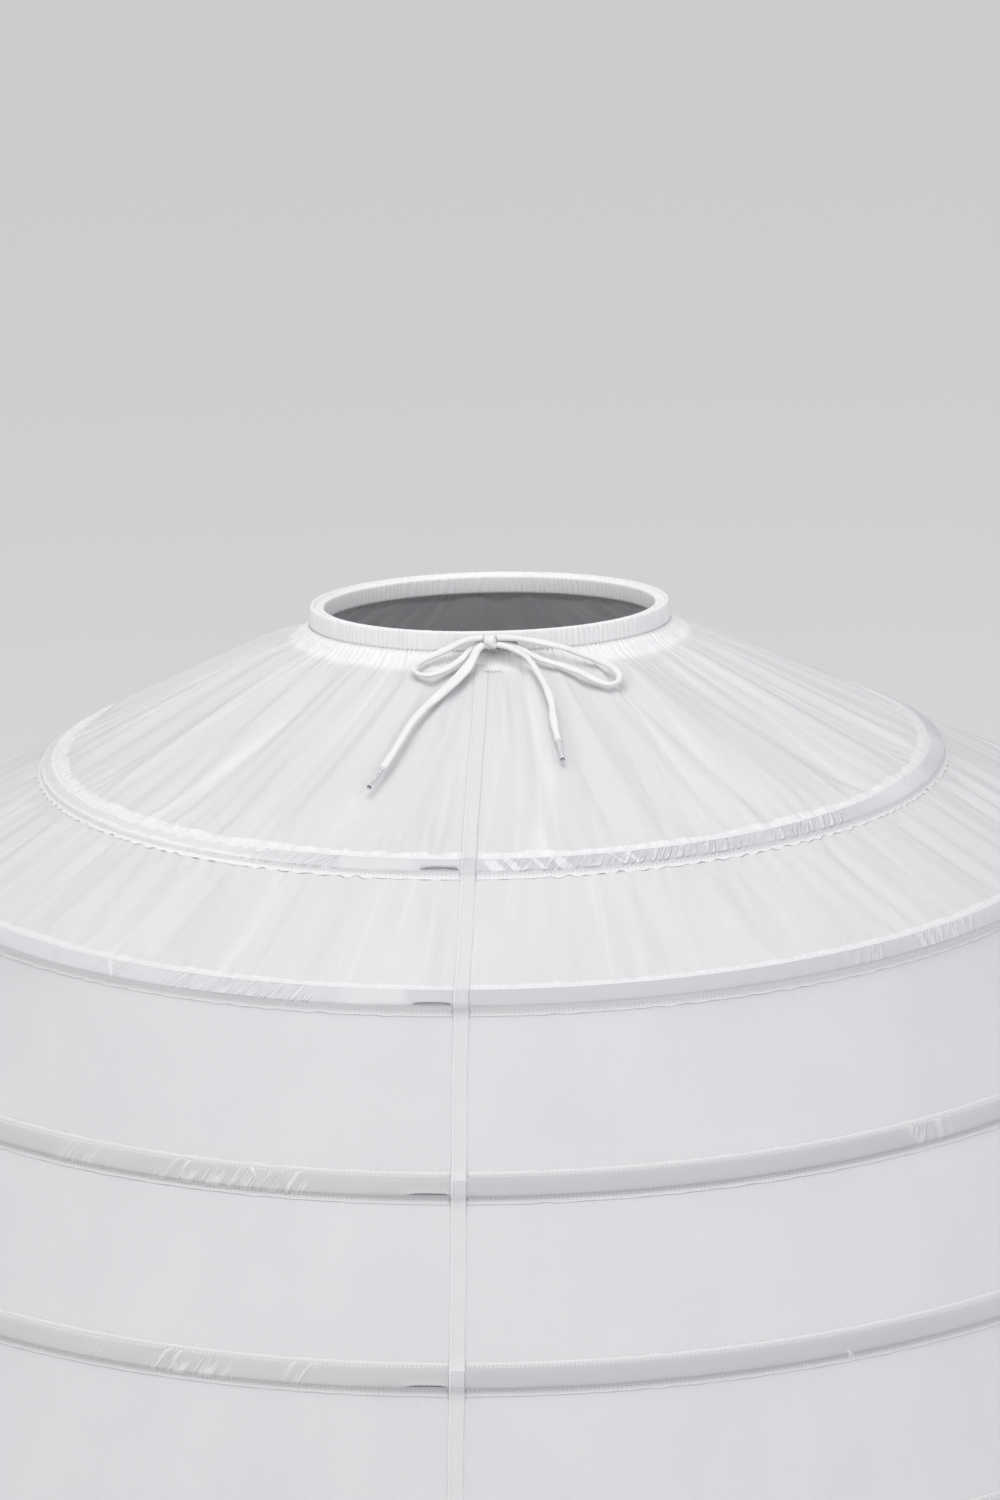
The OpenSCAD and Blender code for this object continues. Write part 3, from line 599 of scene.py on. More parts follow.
# The bow's cords (mm, as in the CAD)
MM = 0.001
KNOT = np.array([0.0, -103.6, -5.2])
FACE = 4.4
TOP = np.array([0, 0, 2.714])
BACK = np.array([0, 2.35, -1.357])
FRONT = np.array([0, -2.35, -1.357])
left_face = KNOT + [-FACE, 0, 0]
right_face = KNOT + [FACE, 0, 0]
ROUTES = {
    "left_loop": [left_face + TOP, (-12, -103.4, -3.2), (-20, -102.8, -5.8), (-28, -102.8, -9.8),
                  (-36, -103.4, -13.2), (-43.5, -105.4, -15.6), (-49, -110.8, -18.2), (-48, -118, -21.4),
                  (-41.5, -121.6, -22.4), (-33.5, -119.6, -21.2), (-25.5, -114.8, -18.6),
                  (-18, -108.6, -14.6), (-11, -103.2, -8.8), left_face + BACK],
    "left_tail": [left_face + FRONT, (-8.4, -108.6, -9.4), (-12.2, -113.8, -15.4), (-17.5, -121.5, -20.7),
                  (-25, -131.5, -26), (-34, -142.5, -31.5), (-43.5, -155, -37.2), (-51, -167, -42.8),
                  (-56, -179, -48.2), (-61, -191, -53.7), (-66, -202, -58.8), (-69.5, -208.8, -62)],
    "right_loop": [right_face + TOP, (13.5, -103.2, -3), (25, -102, -5), (37, -101.5, -7.6), (49, -102, -11),
                   (59.5, -102.2, -15), (69.5, -103.4, -19), (78, -106.8, -22.6), (83, -113.6, -26.2),
                   (82, -121.6, -29.4), (75.5, -126, -29.8), (67, -123.6, -27.2), (58, -118, -23.6),
                   (48.5, -113.4, -20.6), (39, -110.4, -18.2), (30, -107.6, -15.4), (21.5, -104.6, -11.4),
                   (12.5, -102.2, -7.8), right_face + BACK],
    "right_tail": [right_face + FRONT, (10.5, -107.6, -7.6), (17.5, -110.2, -10.2), (24, -113, -14.2),
                   (29, -118.6, -20), (33, -128, -25.4), (36.6, -140, -30.9), (38.8, -152, -36),
                   (39.2, -164, -41), (40.3, -176, -46.2), (42, -188.7, -51.6)],
}


def flat_cord(name, route, width, thick, twist, seed):
    """A soft flat braid, creased along its middle and uneven in width."""
    line, s = resample(np.array([np.asarray(p, float) for p in route]) * MM, 0.0009)
    sides = 20
    g = np.random.default_rng(seed)
    w = width(s) * (1 + 0.06 * np.sin(s / 0.013 * TAU / 2 + g.uniform(0, 6)) + 0.04 * np.sin(s / 0.0047 + 1))
    h = thick(s) * (1 + 0.10 * np.sin(s / 0.009 + g.uniform(0, 6)))
    a = (np.arange(sides) + 0.5) / sides * TAU
    c, d = np.cos(a), np.sin(a)
    x = np.sign(c) * np.abs(c) ** 0.85
    y = np.sign(d) * np.abs(d) ** 0.9
    crease = 1 - 0.16 * np.exp(-((x[None, :] - 0.25 * np.sin(s / 0.02)[:, None]) / 0.28) ** 2) * (y > 0)
    section = np.stack([w[:, None] / 2 * x[None, :], h[:, None] / 2 * y[None, :] * crease], -1)
    return mesh_object(name, *tube(line, section, turn=twist(s)), [cord_m]), line, s


def lerp_table(pairs):
    xs, ys = zip(*pairs)
    return lambda s: np.interp(s, xs, ys)


cord_pieces = {}
for name, width, thick, twist, seed in (
    ("left_loop", [(0, 4.4), (0.02, 5.2), (0.045, 5.4), (0.058, 4.6), (0.08, 5.6), (0.105, 4.2)],
     [(0, 3.4), (0.02, 2.9), (0.1, 3.2)], [(0, 0.0), (0.04, 0.25), (0.056, 0.8), (0.075, 0.1), (0.11, 0)], 1),
    ("left_tail",
     [(0, 4.4), (0.010, 6.0), (0.022, 8.2), (0.040, 8.4), (0.055, 6.4), (0.070, 4.9), (0.14, 4.4)],
     [(0, 3.4), (0.02, 3.4), (0.05, 3.2), (0.14, 3.1)],
     [(0, 0.1), (0.03, -0.25), (0.08, 0.15), (0.14, 0)], 2),
    ("right_loop", [(0, 4.4), (0.03, 5.0), (0.07, 4.6), (0.09, 4.2), (0.12, 5.2), (0.17, 4.3)],
     [(0, 3.4), (0.03, 2.9), (0.17, 3.2)], [(0, 0.0), (0.06, -0.2), (0.08, -0.7), (0.1, -0.1), (0.18, 0)], 3),
    ("right_tail", [(0, 4.4), (0.02, 4.9), (0.05, 4.4), (0.09, 4.7), (0.12, 4.2)],
     [(0, 3.4), (0.03, 3.1), (0.12, 3.1)], [(0, 0.0), (0.03, 0.5), (0.06, 0.1), (0.1, -0.2)], 4),
):
    table = lerp_table([(a, b * MM) for a, b in width])
    table_h = lerp_table([(a, b * MM) for a, b in thick])
    o, line, s = flat_cord("bow_" + name, ROUTES[name], table, table_h, lerp_table(twist), seed)
    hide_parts(name)
    cord_pieces[name] = (o, line, s)


def add_part(parts, new):
    pts, quads, uvs = new
    base = sum(len(p[0]) for p in parts)
    parts.append((pts, quads + base, uvs))


def join_parts(name, parts, mats, mat_of=None):
    return mesh_object(name, np.vstack([p[0] for p in parts]), np.vstack([p[1] for p in parts]),
                       np.vstack([p[2] for p in parts]), mats, mat_of)


def ellipse(n, sides, half_w, half_h, power=0.9):
    a = (np.arange(sides) + 0.5) / sides * TAU
    x = np.sign(np.cos(a)) * np.abs(np.cos(a)) ** power
    y = np.sign(np.sin(a)) * np.abs(np.sin(a)) ** power
    half_w, half_h = np.broadcast_to(half_w, n), np.broadcast_to(half_h, n)
    return np.stack([half_w[:, None] * x, half_h[:, None] * y], -1)


# Knot: two soft turns of the braid round the strands, and one that slants across the front
knot_parts = []
t = np.linspace(0, 1, 150)
wrap = -0.9 + t * (TAU * 2.0)
radius = 3.35 + 0.25 * np.sin(3 * wrap)
line = np.stack([-2.6 + 5.2 * t + 0.35 * np.sin(wrap), -radius * np.cos(wrap),
                 radius * 0.98 * np.sin(wrap)], 1)
line = (line + KNOT) * MM
out_dir = np.stack([np.zeros_like(wrap), -np.cos(wrap), np.sin(wrap)], 1)
add_part(knot_parts, tube(line, ellipse(len(line), 16, 0.00215, 0.00150), level=out_dir))
t = np.linspace(0, 1, 60)
line = np.stack([-3.6 + 7.2 * t, -4.1 - 0.55 * np.sin(math.pi * t), 2.5 - 5.0 * t], 1)
line = (line + KNOT) * MM
slant_w = 0.0019 * (0.85 + 0.15 * np.sin(math.pi * t))
add_part(knot_parts, tube(line, ellipse(len(line), 16, slant_w, 0.0010), level=(0, -1, 0)))
t = np.linspace(0, 1, 24)
line = (np.stack([-4.3 + 8.6 * t, 0 * t, 0 * t], 1) + KNOT) * MM
bulge = np.sqrt(np.clip(1 - (2 * t - 1) ** 2, 0.02, 1)) ** 0.35
add_part(knot_parts, tube(line, ellipse(len(line), 20, 0.0033 * bulge, 0.0033 * bulge), level=(0, 0, 1)))
knot = join_parts("bow_knot_wrap", knot_parts, [cord_m])
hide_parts("bow_knot")

# Lace tips: a rolled film, pinched in three places, with a dark band of painted shade at the open end
for side in ("left", "right"):
    _, line, _ = cord_pieces[side + "_tail"]
    start = np.asarray(ROUTES[side + "_tail"][-1], float) * MM
    way = start - np.asarray(ROUTES[side + "_tail"][-2], float) * MM
    way /= np.linalg.norm(way)
    d = np.linspace(-0.0012, 0.0196, 66)
    r = np.interp(d, [-0.0012, 0.0, 0.001, 0.004, 0.017, 0.0188, 0.0196],
                  [0.00205, 0.0019, 0.00162, 0.0015, 0.00145, 0.0014, 0.00105])
    for at in (0.005, 0.010, 0.015):
        r = r - 0.00014 * np.exp(-((d - at) / 0.0006) ** 2)
    parts = []
    add_part(parts, tube(start + d[:, None] * way, ellipse(len(d), 20, r, r, 1.0)))
    rows = len(parts[0][1])
    ring = np.arange(rows) // 20
    mat_of = np.where((ring >= 61) & (ring < 65), 1, 0)
    o = join_parts(side + "_lace_tip", parts, [tip_m, tip_end_shade_m], mat_of)
    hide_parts(side + "_aglet")

for name in ("left_loop", "right_loop"):
    o, line, s = cord_pieces[name]
for side in ("left", "right"):
    o, line, s = cord_pieces[side + "_tail"]

# The skirt's rings (mm)
RR = [104.2, 300, 398, 459, 519, 573, 618, 654, 681, 692]
RZ = [-14.3, -102, -154, -248, -341, -438, -540, -645, -753, -813]
TOP_W, TOP_D = 116.7, 91.7
SEAM = -93.0
HALF = 0.00028


def slope(k):
    return math.atan2(RZ[k - 1] - RZ[k], RR[k] - RR[k - 1])


def tier_length(k):
    return math.hypot(RR[k] - RR[k - 1], RZ[k] - RZ[k - 1]) * MM


def clear_of_seam(a, r, half, over):
    """0 on the centre seam and 1 well beside it: r is the radius there in mm."""
    return smooth(np.abs(turn_from(a, SEAM)) / 180 * math.pi * r, half, half + over)


def angles(n):
    return np.arange(n) / n * TAU - math.pi


# Yoke
# Folds seen in the photograph: direction at the waist and at hoop 1, width in degrees, height in mm
YOKE_FOLDS = [
    (-139, -130, 5.0, -3.0), (-148, -139, 2.2, -2.6), (-115, -125, 4.0, -1.9), (-110, -119, 2.6, 2.0),
    (-93.5, -106.5, 3.0, -2.6), (-96, -96, 1.6, -1.6), (-89, -84.4, 2.6, 2.6), (-82.5, -80.5, 2.6, -2.0),
    (-77.5, -73.5, 1.2, -1.8), (-52, -47.5, 5.0, 2.8), (-42, -33, 4.0, -2.6), (-58, -60, 1.6, -1.8),
    (-30, -34, 3.0, -1.6), (-66, -66.5, 2.6, -1.4), (-104, -112, 2.0, -1.3), (-128, -124, 2.2, 1.6),
    (-155, -150, 2.6, 1.6), (-160, -157, 2.2, -1.8), (-22, -24, 3.0, 1.8), (-12, -15, 2.4, -1.8),
]


def fold_set(a, t, folds):
    out = np.zeros(np.broadcast(a, t).shape)
    for top, low, width, high in folds:
        at = top + (low - top) * t
        x = turn_from(a, 0) - at
        x = (x + 180) % 360 - 180
        w = width * (0.75 + 0.35 * t)
        out = out + high * np.exp(-np.abs(x / w) ** 1.7)
    return out


def yoke():
    n, m = 1080, 28
    a = angles(n)[:, None]
    t = (np.linspace(0, 1, m) ** 1.08)[None, :]
    flare = 5.5 * (1 - smooth(t, 0.0, 0.085))
    half_w = TOP_W + (RR[1] - TOP_W) * t + flare
    half_d = TOP_D + (RR[1] - TOP_D) * t + flare
    z = RZ[0] + 0.7 + (RZ[1] - RZ[0]) * t - 0.7 * smooth(t, 0, 0.06) + 0 * a
    p = ring_points(a, half_w, half_d, z)
    down = t * tier_length(1) / MM
    body = smooth(down, 8, 46) * (1 - smooth(down, 176, 207))
    r = (half_w + half_d) / 2
    flat = clear_of_seam(a, r, 7, 12)
    # Behind the front's own folds, the back and the sides get uneven ones of the same kind
    front = smooth(-np.abs(turn_from(a, -90)), -84, -66)
    drift = 0.12 * (t - 0.5) * np.sin(3 * a + 1)
    free = 2.6 * ripple(a + drift, 14, 36, 11) + 1.5 * ripple(a + drift, 46, 84, 12)
    sharp = np.sign(free) * np.abs(free) ** 1.2
    d = body * (sharp * (1 - 0.72 * front) + 1.15 * fold_set(a, t, YOKE_FOLDS))
    # Fine gathers below the waistband, and crimps where the yoke meets hoop 1
    d = d + 0.55 * ripple(a, 110, 170, 13) * np.exp(-down / 24) * smooth(down, 0, 5)
    d = d + 0.40 * ripple(a + 0.01 * t, 200, 280, 14) * np.exp(-down / 11)
    near = np.exp(-((199 - down) / 26) ** 2) * smooth(209 - down, 2, 14)
    d = d + 0.9 * ripple(a, 60, 150, 15) * near
    d = d * flat
    p = p + grid_normals(p) * d[..., None]
    cut = 1.95
    u = np.arange(n + 1) / n * cut
    v = t[0] * tier_length(1)
    o = ring_body("yoke_cloth", shell(p * MM, HALF), u, shell_v(v), [yoke_cloth_m])
    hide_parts("yoke")
    return o


# Tiers
TIER_2_FOLDS = [
    (-96.6, -96.2, 0.9, -2.6), (-99.4, -99.0, 1.0, 0.9), (-88, -88.5, 1.2, -1.0), (-112, -113, 1.0, -1.6),
    (-117, -118.5, 1.2, 1.2), (-122, -123, 0.9, -1.8), (-130, -131.5, 1.4, -1.5), (-135, -136.5, 1.0, 1.2),
    (-141, -142, 1.0, -1.6), (-83, -82, 1.0, -1.2), (-76, -75.5, 1.2, 1.2), (-70, -69.5, 1.2, -1.5),
    (-62, -61, 1.0, -1.3), (-57, -56, 1.4, 1.3), (-49, -47.5, 1.0, -1.6), (-42, -40.5, 1.2, 1.4),
    (-36, -34, 1.0, -1.4),
]


def tier(k):
    smooth_tier = k > 2
    n = 900 if k == 2 else 600 if k <= 4 else 480
    m = 22 if k == 2 else 14 if k <= 4 else 12
    a = angles(n)[:, None]
    t = np.linspace(0, 1, m)[None, :]
    r = RR[k - 1] + (RR[k] - RR[k - 1]) * t
    z = RZ[k - 1] + (RZ[k] - RZ[k - 1]) * t + 0 * a
    p = ring_points(a, r, r, z)
    length = tier_length(k) / MM
    down = t * length
    body = smooth(down, 9, 26) * (1 - smooth(down, length - 24, length - 9))
    edge = np.exp(-((down - 13) / 7) ** 2) + np.exp(-((length - 13 - down) / 7) ** 2)
    edge = edge * smooth(down, 8, 12) * smooth(length - down, 8, 12)
    flat = clear_of_seam(a, r, 7, 10)
    if smooth_tier:
        d = 0.55 * body * ripple(a, 5, 17, 20 + k) + 0.22 * body * ripple(a + 0.02 * t, 18, 46, 40 + k)
        d = d + 0.16 * edge * ripple(a, 70, 190, 60 + k)
    else:
        front = smooth(-np.abs(turn_from(a, -90)), -70, -58)
        drift = 0.05 * (t - 0.5) * np.sin(4 * a + 2)
        free = 0.95 * ripple(a + drift, 34, 70, 31) + 0.6 * ripple(a + drift, 80, 130, 32)
        d = body * (free * (1 - 0.45 * front) + fold_set(a, t, TIER_2_FOLDS))
        d = d + 0.55 * edge * ripple(a, 90, 230, 33)
    d = d * flat
    p = p + grid_normals(p) * d[..., None]
    name = "tier_%d" % k
    fullness = 1.0 if smooth_tier else 1.08
    cut = TAU * RR[k] * MM * fullness
    u = np.arange(n + 1) / n * cut
    o = ring_body(name + "_cloth", shell(p * MM, HALF), u, shell_v((t[0] - 0.5) * length * MM),
                  [tier_cloth_m if smooth_tier else tier_2_cloth_m])
    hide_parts(name)
    return o


def hem():
    n, m = 480, 12
    a = angles(n)[:, None]
    t = np.linspace(0, 1, m)[None, :]
    r = RR[8] + (RR[9] - RR[8]) * t
    z = RZ[8] + (RZ[9] - RZ[8]) * t + 0 * a
    p = ring_points(a, r, r, z)
    down = t * tier_length(9) / MM
    length = tier_length(9) / MM
    d = 0.5 * ripple(a, 5, 17, 71) * smooth(down, 10, 40)
    d = d - 0.25 * np.exp(-((length - 15 - down) / 1.6) ** 2)
    d = d * clear_of_seam(a, r, 7, 10)
    nrm = grid_normals(p)
    p = p + nrm * d[..., None]
    outer = p + nrm * 0.28
    inner = p - nrm * 0.28
    # Turned up inside: down to the edge, round it and back up 15 mm
    turned = [1.0, 0.9, 0.75 + 0.002, 0.75]
    rows = []
    for f, depth in zip(turned, (1.1, 1.1, 1.1, 0.35)):
        rr = RR[8] + (RR[9] - RR[8]) * f + 0 * a[:, 0]
        zz = RZ[8] + (RZ[9] - RZ[8]) * f + 0 * a[:, 0]
        q = ring_points(a[:, 0], rr, rr, zz)
        rows.append(q - nrm[:, min(m - 1, int(f * (m - 1)))] * depth)
    up = inner[:, : int(0.75 * (m - 1)) + 1][:, ::-1]
    loops = np.concatenate([outer, np.stack(rows, 1), up], 1)
    mm = loops.shape[1]
    v = np.concatenate([t[0] * length, [length + 1, length + 6, length + 14.8, length + 15],
                        t[0][: int(0.75 * (m - 1)) + 1][::-1] * length, [0]]) * MM
    cut = TAU * RR[9] * MM
    o = ring_body("hem_cloth", loops * MM, np.arange(n + 1) / n * cut, v[: mm + 1], [hem_m])
    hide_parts("hem_band")
    return o


def hem_look(k, u, v, colour, normal):
    thread, needle_hole_shade = stitch_row(k, u, v, 0.0460)
    # Painted shade in the needle holes between stitches
    colour = k.mix(k.mul(needle_hole_shade, 0.5), colour, rgb(0.42, 0.42, 0.44))
    zone = k.range(v, 0.0455, 0.0465)
    colour = k.mix(k.mul(zone, 0.5), colour, rgb(0.845, 0.845, 0.852))
    return colour, k.bump(k.sub(thread, needle_hole_shade), 0.0002, 0.8, normal)


hem_m = cloth("hem_cotton", (0.795, 0.796, 0.804), (0.770, 0.771, 0.782), creases=0.00012, crease_u=30.0,
              crease_v=16.0, extra=hem_look)

yoke()
for k in range(2, 9):
    tier(k)
hem()

# Channels
def hoop_slope(k):
    return (slope(k) + slope(k + 1)) / 2


def crest(k):
    """How high the middle of the hoop's seat stands over the point where its two tiers meet."""
    return max(0.5 / math.sin(slope(k)), 0.5 / math.sin(slope(k + 1))) * math.sin(hoop_slope(k))


def beside(k, angle, along, out):
    return (RR[k] + along * math.cos(angle) + out * math.sin(angle),
            RZ[k] - along * math.sin(angle) + out * math.cos(angle))


# Half a tape's section from its edge inwards: distance across the cloth, along the slope, and out from it
TAPE_FOOT = ((9.8, 9.8, 0.48), (9.3, 9.3, 0.64), (8.1, 8.1, 0.62), (7.3, 7.3, 0.80), (6.8, 6.8, 0.9),
             (6.4, 6.3, 1.45))
TAPE_ROOF = ((5.7, 5.55, -0.75), (4.6, 4.75, -0.05), (2.4, 2.4, 0.10))


def channel_rows(k):
    """The tape's upper side as points (r, z), with the distance across the tape for each."""
    roof = crest(k) + 3.25
    up, low, mid = slope(k), slope(k + 1), hoop_slope(k)
    above = [(-v, beside(k, up, -along, out)) for v, along, out in TAPE_FOOT]
    above += [(-v, beside(k, mid, -along, roof + out)) for v, along, out in TAPE_ROOF]
    below = [(v, beside(k, low, along, out)) for v, along, out in TAPE_FOOT]
    below += [(v, beside(k, mid, along, roof + out)) for v, along, out in TAPE_ROOF]
    return above + [(0.0, beside(k, mid, 0, roof + 0.14))] + below[::-1]


def channel(k, material):
    n = 1080 if k <= 2 else 720 if k <= 4 else 420
    rows = channel_rows(k)
    v = np.array([x for x, _ in rows])
    rz = np.array([q for _, q in rows])
    m = len(rows)
    a0 = math.radians(SEAM)
    a = (np.arange(n) / n * TAU + a0 - math.pi)[:, None]
    # The slit's ends fall on columns
    near = 5.5 / RR[k]
    far = near + 23.0 / RR[k]
    turn = (a[:, 0] - a0 + math.pi) % TAU - math.pi
    i_far, i_near = np.argmin(np.abs(turn + far)), np.argmin(np.abs(turn + near))
    a = a.copy()
    a[i_far, 0], a[i_near, 0] = a0 - far, a0 - near
    turn = (a[:, 0] - a0 + math.pi) % TAU - math.pi
    place = np.tile(rz, (n, 1, 1))
    # The slit is a gap low in the roof: its upper lip sags over the middle of the gap
    off = np.abs(turn + (near + far) / 2) / ((far - near) / 2)
    gap = {1: 1.8, 2: 1.2}.get(k, 0.7) * np.clip(1 - off**2, 0, 1) ** 0.35
    lip = np.where(off < 1, 4.45 - gap, 2.4 + 2.05 * (1 - smooth((off - 1) * 11.5, 0, 7)))
    rise = np.where(off < 1, 0.12 * gap, 0.0)
    lip_r, lip_z = beside(k, hoop_slope(k), lip, crest(k) + 3.30 + rise)
    place[:, 10, 0], place[:, 10, 1] = lip_r, lip_z
    p = ring_points(a, place[:, :, 0], place[:, :, 0], place[:, :, 1])
    nrm = grid_normals(p)
    vv = v[None, :]
    roof = smooth(-np.abs(vv), -6.2, -4.6)
    edge = smooth(np.abs(vv), 6.6, 9.8)
    lively = {1: 1.0, 2: 0.75, 3: 0.5, 4: 0.45}.get(k, 0.35)
    slant = 0.6 / RR[k]
    w = a + vv * slant
    some = smooth(ripple(a, 3, 9, 80 + k), -0.3, 0.35)
    top = int(RR[k] * TAU / (9 if k <= 2 else 14 if k <= 4 else 24))
    d = lively * roof * some * 0.42 * np.maximum(0, ripple(w, top // 2, top, 90 + k))
    d = d + lively * 0.10 * (1 + ripple(a, 20, 60, 100 + k)) * roof
    # Away from the sleeve the roof lies lower, close over the hoop
    over_sleeve = smooth(turn * RR[k], -58, -46) * (1 - smooth(turn * RR[k], 8, 18))
    lower = 0.5 * (1 - over_sleeve[:, None]) * roof
    d = d + lively * 0.22 * edge * np.maximum(0, ripple(a, 120, 300 if k > 1 else 220, 110 + k))
    side = lively * (0.95 if k == 1 else 0.5) * ripple(a, 90, 240, 120 + k)
    side = side * smooth(np.abs(vv), 8.0, 9.8) * np.sign(vv)
    calm = smooth(np.abs(turn_from(a, SEAM)) / 180 * math.pi * RR[k], 24, 44)
    d, side = d * calm - lower, side * calm
    tangent = np.gradient(p, axis=1)
    tangent /= np.linalg.norm(tangent, axis=2, keepdims=True)
    upper = p + nrm * d[..., None] + tangent * side[..., None]
    thick = np.interp(np.abs(v), [0, 5.5, 6.5, 9.0, 9.8], [0.55, 0.55, 0.45, 0.22, 0.12])
    under = p - nrm * thick[None, :, None] + tangent * side[..., None]
    loops = np.concatenate([upper, under[:, ::-1]], 1)
    mm = 2 * m
    # Cut the slit out of the roof, in both sides of the tape
    j0, j1 = 10, 11
    cols = np.arange(i_far, i_near) if i_far < i_near else np.arange(i_far, i_near + n) % n
    keep = np.ones((n, mm), bool)
    for j in range(j0, j1):
        keep[cols, j] = False
        keep[cols, mm - 2 - j] = False
    q, ui, vj = ring_quads(n, mm, keep=keep)
    u_all = (a[:, 0] - a0) * RR[k] * MM
    u_all = np.append(u_all, math.pi * RR[k] * MM)
    v_all = np.concatenate([v, v[::-1], v[:1]]) * MM
    uvs = np.stack([u_all[ui], v_all[vj]], -1)
    walls, wall_uv = [], []

    def at(i, j):
        return (i % n) * mm + j

    for i in cols:
        for j, flip in ((j0, False), (j1, True)):
            c = [at(i, j), at(i + 1, j), at(i + 1, mm - 1 - j), at(i, mm - 1 - j)]
            walls.append(c if not flip else c[::-1])
            wall_uv.append([[u_all[i], v[j] * MM]] * 4)
    for i, flip in ((cols[0], True), (cols[-1] + 1, False)):
        for j in range(j0, j1):
            c = [at(i, j), at(i, j + 1), at(i, mm - 2 - j), at(i, mm - 1 - j)]
            walls.append(c if not flip else c[::-1])
            wall_uv.append([[u_all[i % n], v[j] * MM]] * 4)
    q = np.vstack([q, np.array(walls)])
    uvs = np.vstack([uvs, np.array(wall_uv)])
    o = mesh_object("channel_%d_tape" % k, loops * MM, q, uvs, [material])
    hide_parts("channel_%d" % k)
    return o


for k in range(1, 9):
    channel(k, channel_1_m if k == 1 else channel_2_shaded_copy_m if k == 2 else channel_3_shaded_copy_m)


# Centre seam
def chaikin(p, times):
    for _ in range(times):
        q = [p[0]]
        for a, b in zip(p[:-1], p[1:]):
            q += [a * 0.75 + b * 0.25, a * 0.25 + b * 0.75]
        p = np.array(q + [p[-1]])
    return p


# The strip's way over a channel: along the slope from the hoop, and out from it or over its roof
SEAM_FOOT = ((14.6, 0.5), (10.6, 0.9), (9.2, 1.5), (7.2, 1.6))
SEAM_ROOF = ((-5.9, -0.7), (-4.6, 0), (0, 0.15), (4.6, 0), (5.9, -0.7))


def centre_seam():
    a0 = math.radians(SEAM)
    start_r = TOP_W * TOP_D / math.hypot(TOP_D * math.cos(a0), TOP_W * math.sin(a0))
    cuff = beside(1, slope(1), -13.8, 0)
    way = np.array([cuff[0] - start_r, cuff[1] - RZ[0]])
    way /= np.linalg.norm(way)
    out = np.array([-way[1], way[0]])
    pts = [np.array([start_r, RZ[0]]) + way * 1.2 + out * 0.55]
    for k in range(1, 9):
        roof = crest(k) + 3.80
        up, low, mid = slope(k), slope(k + 1), hoop_slope(k)
        pts += [np.array(beside(k, up, -along, out)) for along, out in SEAM_FOOT]
        pts += [np.array(beside(k, mid, along, roof + out)) for along, out in SEAM_ROOF]
        pts += [np.array(beside(k, low, along, out)) for along, out in SEAM_FOOT[::-1]]
    pts.append(np.array(beside(9, slope(9), -0.6, 0.55)))
    flat = chaikin(np.array(pts), 2)
    s = distance_along(flat)
    rows = int(s[-1] / 1.7)
    at = np.linspace(0, s[-1], rows + 1)
    rz = np.stack([np.interp(at, s, flat[:, j]) for j in range(2)], 1)
    tan = np.gradient(rz, axis=0)
    tan /= np.linalg.norm(tan, axis=1, keepdims=True)
    nrm = np.stack([-tan[:, 1], tan[:, 0]], 1)
    # Across: a crisp folded edge on the left, a thin feathered one on the right
    x = np.array([-4.5, -4.35, -3.9, -2.8, -1.2, 0.6, 2.4, 3.8, 4.5])
    lift = np.array([-0.10, 0.16, 0.26, 0.18, 0.14, 0.12, 0.08, 0.0, -0.16])
    wob = 0.22 * np.sin(at / 37.0) + 0.14 * np.sin(at / 11.3 + 1)
    radial = np.array([math.cos(a0), math.sin(a0)])
    across = np.array([-math.sin(a0), math.cos(a0)])

    sideways = (x[None, :] + wob[:, None])[..., None] * across

    def face(heights):
        """The strip's points at these heights over the cloth."""
        q = rz[:, None, :] + nrm[:, None, :] * heights[..., None]
        return np.concatenate([q[..., :1] * radial + sideways, q[..., 1:]], -1)

    top = face(lift[None, :] + 0.07 * np.sin(at / 4.1)[:, None] * (x > -3.9))
    low = face(np.full((1, len(x)), -0.20))
    loops = np.concatenate([top, low[:, ::-1]], 1)
    n, m = loops.shape[:2]
    i, j = np.meshgrid(np.arange(n - 1), np.arange(m), indexing="ij")
    j2 = (j + 1) % m
    quads = np.stack([i * m + j, (i + 1) * m + j, (i + 1) * m + j2, i * m + j2], -1).reshape(-1, 4)
    ux = np.concatenate([x + 4.5, (x + 4.5)[::-1], [0]]) * MM
    uvs = np.stack([ux[np.stack([j, j, j + 1, j + 1], -1)],
                    (at * MM)[np.stack([i, i + 1, i + 1, i], -1)]], -1).reshape(-1, 4, 2)
    caps, cap_uv = [], []
    for ring, flip in ((0, False), (n - 1, True)):
        for c in range(m // 2 - 1):
            f = [ring * m + c, ring * m + c + 1, ring * m + m - 2 - c, ring * m + m - 1 - c]
            caps.append(f[::-1] if flip else f)
            cap_uv.append([[0, 0]] * 4)
    over_roof = np.zeros(n, bool)
    for k in range(1, 9):
        way = np.array([math.cos(hoop_slope(k)), -math.sin(hoop_slope(k))])
        off = rz - np.array([RR[k], RZ[k]])
        over_roof |= (np.abs(off @ way) < 5.0) & (np.linalg.norm(off, axis=1) < 12)
    row_of = np.repeat(np.arange(n - 1), m)
    # Rows over the channel roofs take the seam's painted hollow shade
    mat_of = np.concatenate([np.where(over_roof[row_of], 1, 0), np.zeros(len(caps), int)])
    o = mesh_object("centre_seam_strip", loops * MM, np.vstack([quads, caps]), np.vstack([uvs, cap_uv]),
                    [seam_m, seam_hollow_shade_m], mat_of)
    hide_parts("centre_seam")
    return o


centre_seam()

# Waistband
HALF_W, HALF_D = 122.0, 97.0
HOLE_X, HOLE_Z, HOLE_HALF, HOLE_HIGH = 4.0, -9.0, 13.0, 2.7


